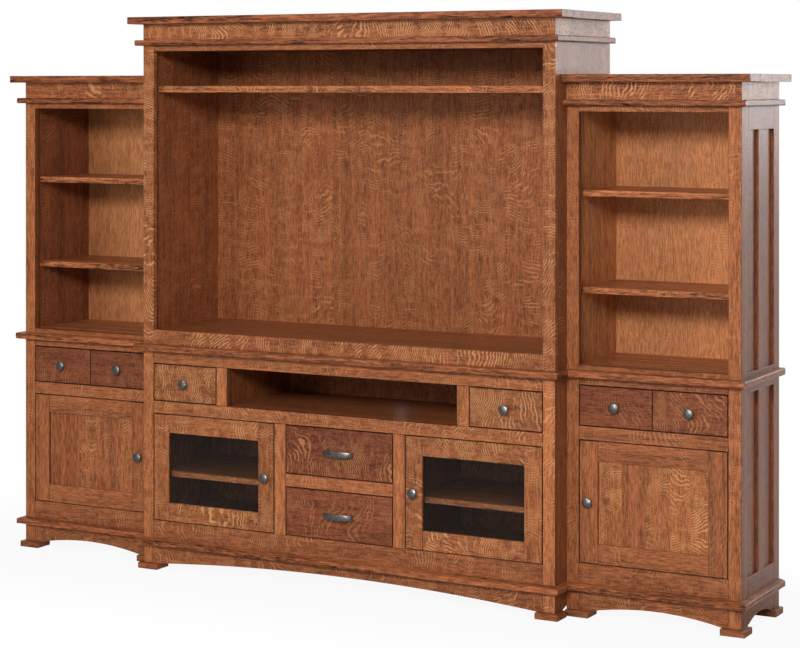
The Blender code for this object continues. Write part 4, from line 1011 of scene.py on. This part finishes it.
def door_glass():
    """Clear float glass, very slightly grey and waved, that lets the lamps light what is behind it."""
    start, shader, made = surface("door_glass", 0.02, specular=0.2)
    shader.inputs["Base Color"].default_value = (0.80, 0.83, 0.83, 1)
    shader.inputs["Transmission Weight"].default_value = 1.0
    shader.inputs["IOR"].default_value = 1.45
    place = start.place()
    smear = place.stretched(14, 14, 9).mottle(3.0, 0.6).step(0.45, 0.8)
    connect(shader, Roughness=0.012 + smear * 0.02)
    clear = start.make("ShaderNodeBsdfTransparent", None, {"Color": (0.20, 0.21, 0.21, 1)})
    mix_in(made, shader, start.ray("Shadow"), clear)
    return made


glass = door_glass()
for name, look in (("left_glass_door", GLASS_DOOR), ("right_glass_door", GLASS_DOOR),
                   ("left_pier_door", PIER_DOOR), ("right_pier_door", PIER_DOOR)):
    low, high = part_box(name + "_frame")
    face = low.y
    ys = (face, face + DOOR)
    sight = (low.x + DOOR_STILE, high.x - DOOR_STILE)
    sight_zs = (low.z + DOOR_STILE, high.z - DOOR_STILE)
    stile_look = (look[0], look[1] - 0.04, look[2] * 0.7)
    bm = new_piece()
    for xs in ((low.x, sight[0]), (sight[1], high.x)):
        add_board(bm, xs, ys, (low.z, high.z), "Z", stile_look, gap_shade=FRONT_GAP_SHADE)
    for zs in ((low.z, sight_zs[0]), (sight_zs[1], high.z)):
        add_board(bm, sight, ys, zs, "X", look, DOOR_RAIL_EASE)
    done(bm, name + "_frame_boards", oak, [name + "_frame"], name)

    if "glass" in name:
        refinish(name + "_pane", glass)
    else:
        low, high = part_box(name + "_panel")
        bm = new_piece()
        spans = ((low.x, high.x), (low.y, high.y), (low.z, high.z))
        add_strips(bm, *spans, "Z", "X", 5, PANEL_LOOK, PANEL_SPREAD)
        done(bm, name + "_panel_strips", oak, [name + "_panel"], name)

    low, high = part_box(name + "_knob")
    bm = bmesh.new()
    add_knob(bm, ((low.x + high.x) / 2, face, (low.z + high.z) / 2))
    done(bm, name + "_knob_casting", pewter, [name + "_knob"], name, CREASE)
    for pin in ("_lower_pin", "_upper_pin"):
        refinish(name + pin, steel)

# The studio: a pale floor that runs on behind the piece, a large soft lamp high on the right, a
# weaker and lower one on the left that leaves no glint, two more above and behind, and a white room.
# The camera keeps upright lines parallel, as a shift lens does.

CAMERA_PLACE = (3.869, -6.878, 1.810)
CAMERA_TURN = 0.4975
CAMERA_DIP = 0.0028
LENS = 96.8
SENSOR = 36
FAR_CLIP = 60
AXIS_ROW = 93.45
FRAME_WIDTH, FRAME_HEIGHT = 800, 648
ROOM_LIGHT = 0.15
FLOOR_HALF = 14
FLOOR_GLOW = 0.92


def add_lamp(name, place, aim, size, power, glints=True):
    """A soft square lamp that looks at a point."""
    lamp = bpy.data.lights.new(name, "AREA")
    lamp.shape = "RECTANGLE"
    lamp.size, lamp.size_y = size
    lamp.energy = power
    holder = bpy.data.objects.new(name, lamp)
    holder.location = place
    holder.rotation_euler = (Vector(aim) - Vector(place)).to_track_quat("-Z", "Y").to_euler()
    holder.visible_glossy = glints
    bpy.context.scene.collection.objects.link(holder)


def seen_directly(start):
    """1 where a view, a gloss or a pane looks straight at a surface, and 0 for light that it sheds."""
    view, gloss, pane = (start.ray(kind) for kind in ("Camera", "Glossy", "Transmission"))
    return start.maths("MAXIMUM", start.maths("MAXIMUM", view, gloss), pane)


scene = bpy.context.scene
camera = bpy.data.cameras.new("camera")
camera.lens = LENS
camera.sensor_width = SENSOR
camera.sensor_fit = "HORIZONTAL"
camera.shift_y = -(FRAME_HEIGHT / 2 - AXIS_ROW) / FRAME_WIDTH
camera.clip_end = FAR_CLIP
viewer = bpy.data.objects.new("camera", camera)
viewer.location = CAMERA_PLACE
viewer.rotation_euler = (math.pi / 2 - CAMERA_DIP, 0, CAMERA_TURN)
scene.collection.objects.link(viewer)
scene.camera = viewer
scene.view_settings.view_transform = "Standard"

world = bpy.data.worlds.new("studio")
scene.world = world
world.use_nodes = True
sky = world.node_tree.nodes["Background"]
start = Stain(world.node_tree)
behind = start.place("Generated").axis("Y").step(-0.25, 0.45)
looked_at = start.ray("Camera")
gloss = seen_directly(start) - looked_at
room = ROOM_LIGHT + looked_at * (1 - ROOM_LIGHT) + gloss * (behind * 0.85 - 0.07)
world.node_tree.links.new(room.socket, sky.inputs["Strength"])
sky.inputs["Color"].default_value = (1, 1, 1, 1)

floor_mesh = bpy.data.meshes.new("floor")
corners = [(FLOOR_HALF * x, FLOOR_HALF * y, 0) for x, y in ((-1, -1), (1, -1), (1, 1), (-1, 1))]
floor_mesh.from_pydata(corners, [], [(0, 1, 2, 3)])
floor = bpy.data.objects.new("floor", floor_mesh)
scene.collection.objects.link(floor)
start, shader, pale = surface("pale_floor", 0.9)
shader.inputs["Base Color"].default_value = (0.86, 0.86, 0.86, 1)
place = start.place()
x, y = (place.axis(name) for name in "XY")
away = start.maths("MAXIMUM", start.maths("ABSOLUTE", x) - HALF * 1.9, start.maths("ABSOLUTE", y) - BACK)
plain = seen_directly(start) * (FLOOR_GLOW + away.step(-0.1, 0.9) * (1 - FLOOR_GLOW))
white = (1.0 - start.ray("Glossy") * y.step(0.9, -0.1) * 0.85).tinting((1, 1, 1))
mix_in(pale, shader, plain, start.make("ShaderNodeEmission", None, {"Color": white}))
floor_mesh.materials.append(pale)

add_lamp("key", (2.6, -7.1, 3.6), (0, 0, 1.0), (2.0, 1.2), 358)
add_lamp("fill", (-3.2, -7.2, 2.5), (-0.4, 0, 0.9), (2.4, 2.4), 118, glints=False)
add_lamp("top", (0, -3.0, 5.0), (0, 0, 0.8), (4.0, 2.0), 25)
add_lamp("rim", (4.4, 5.6, 2.6), (1.0, 0, 1.4), (2.4, 2.4), 160)
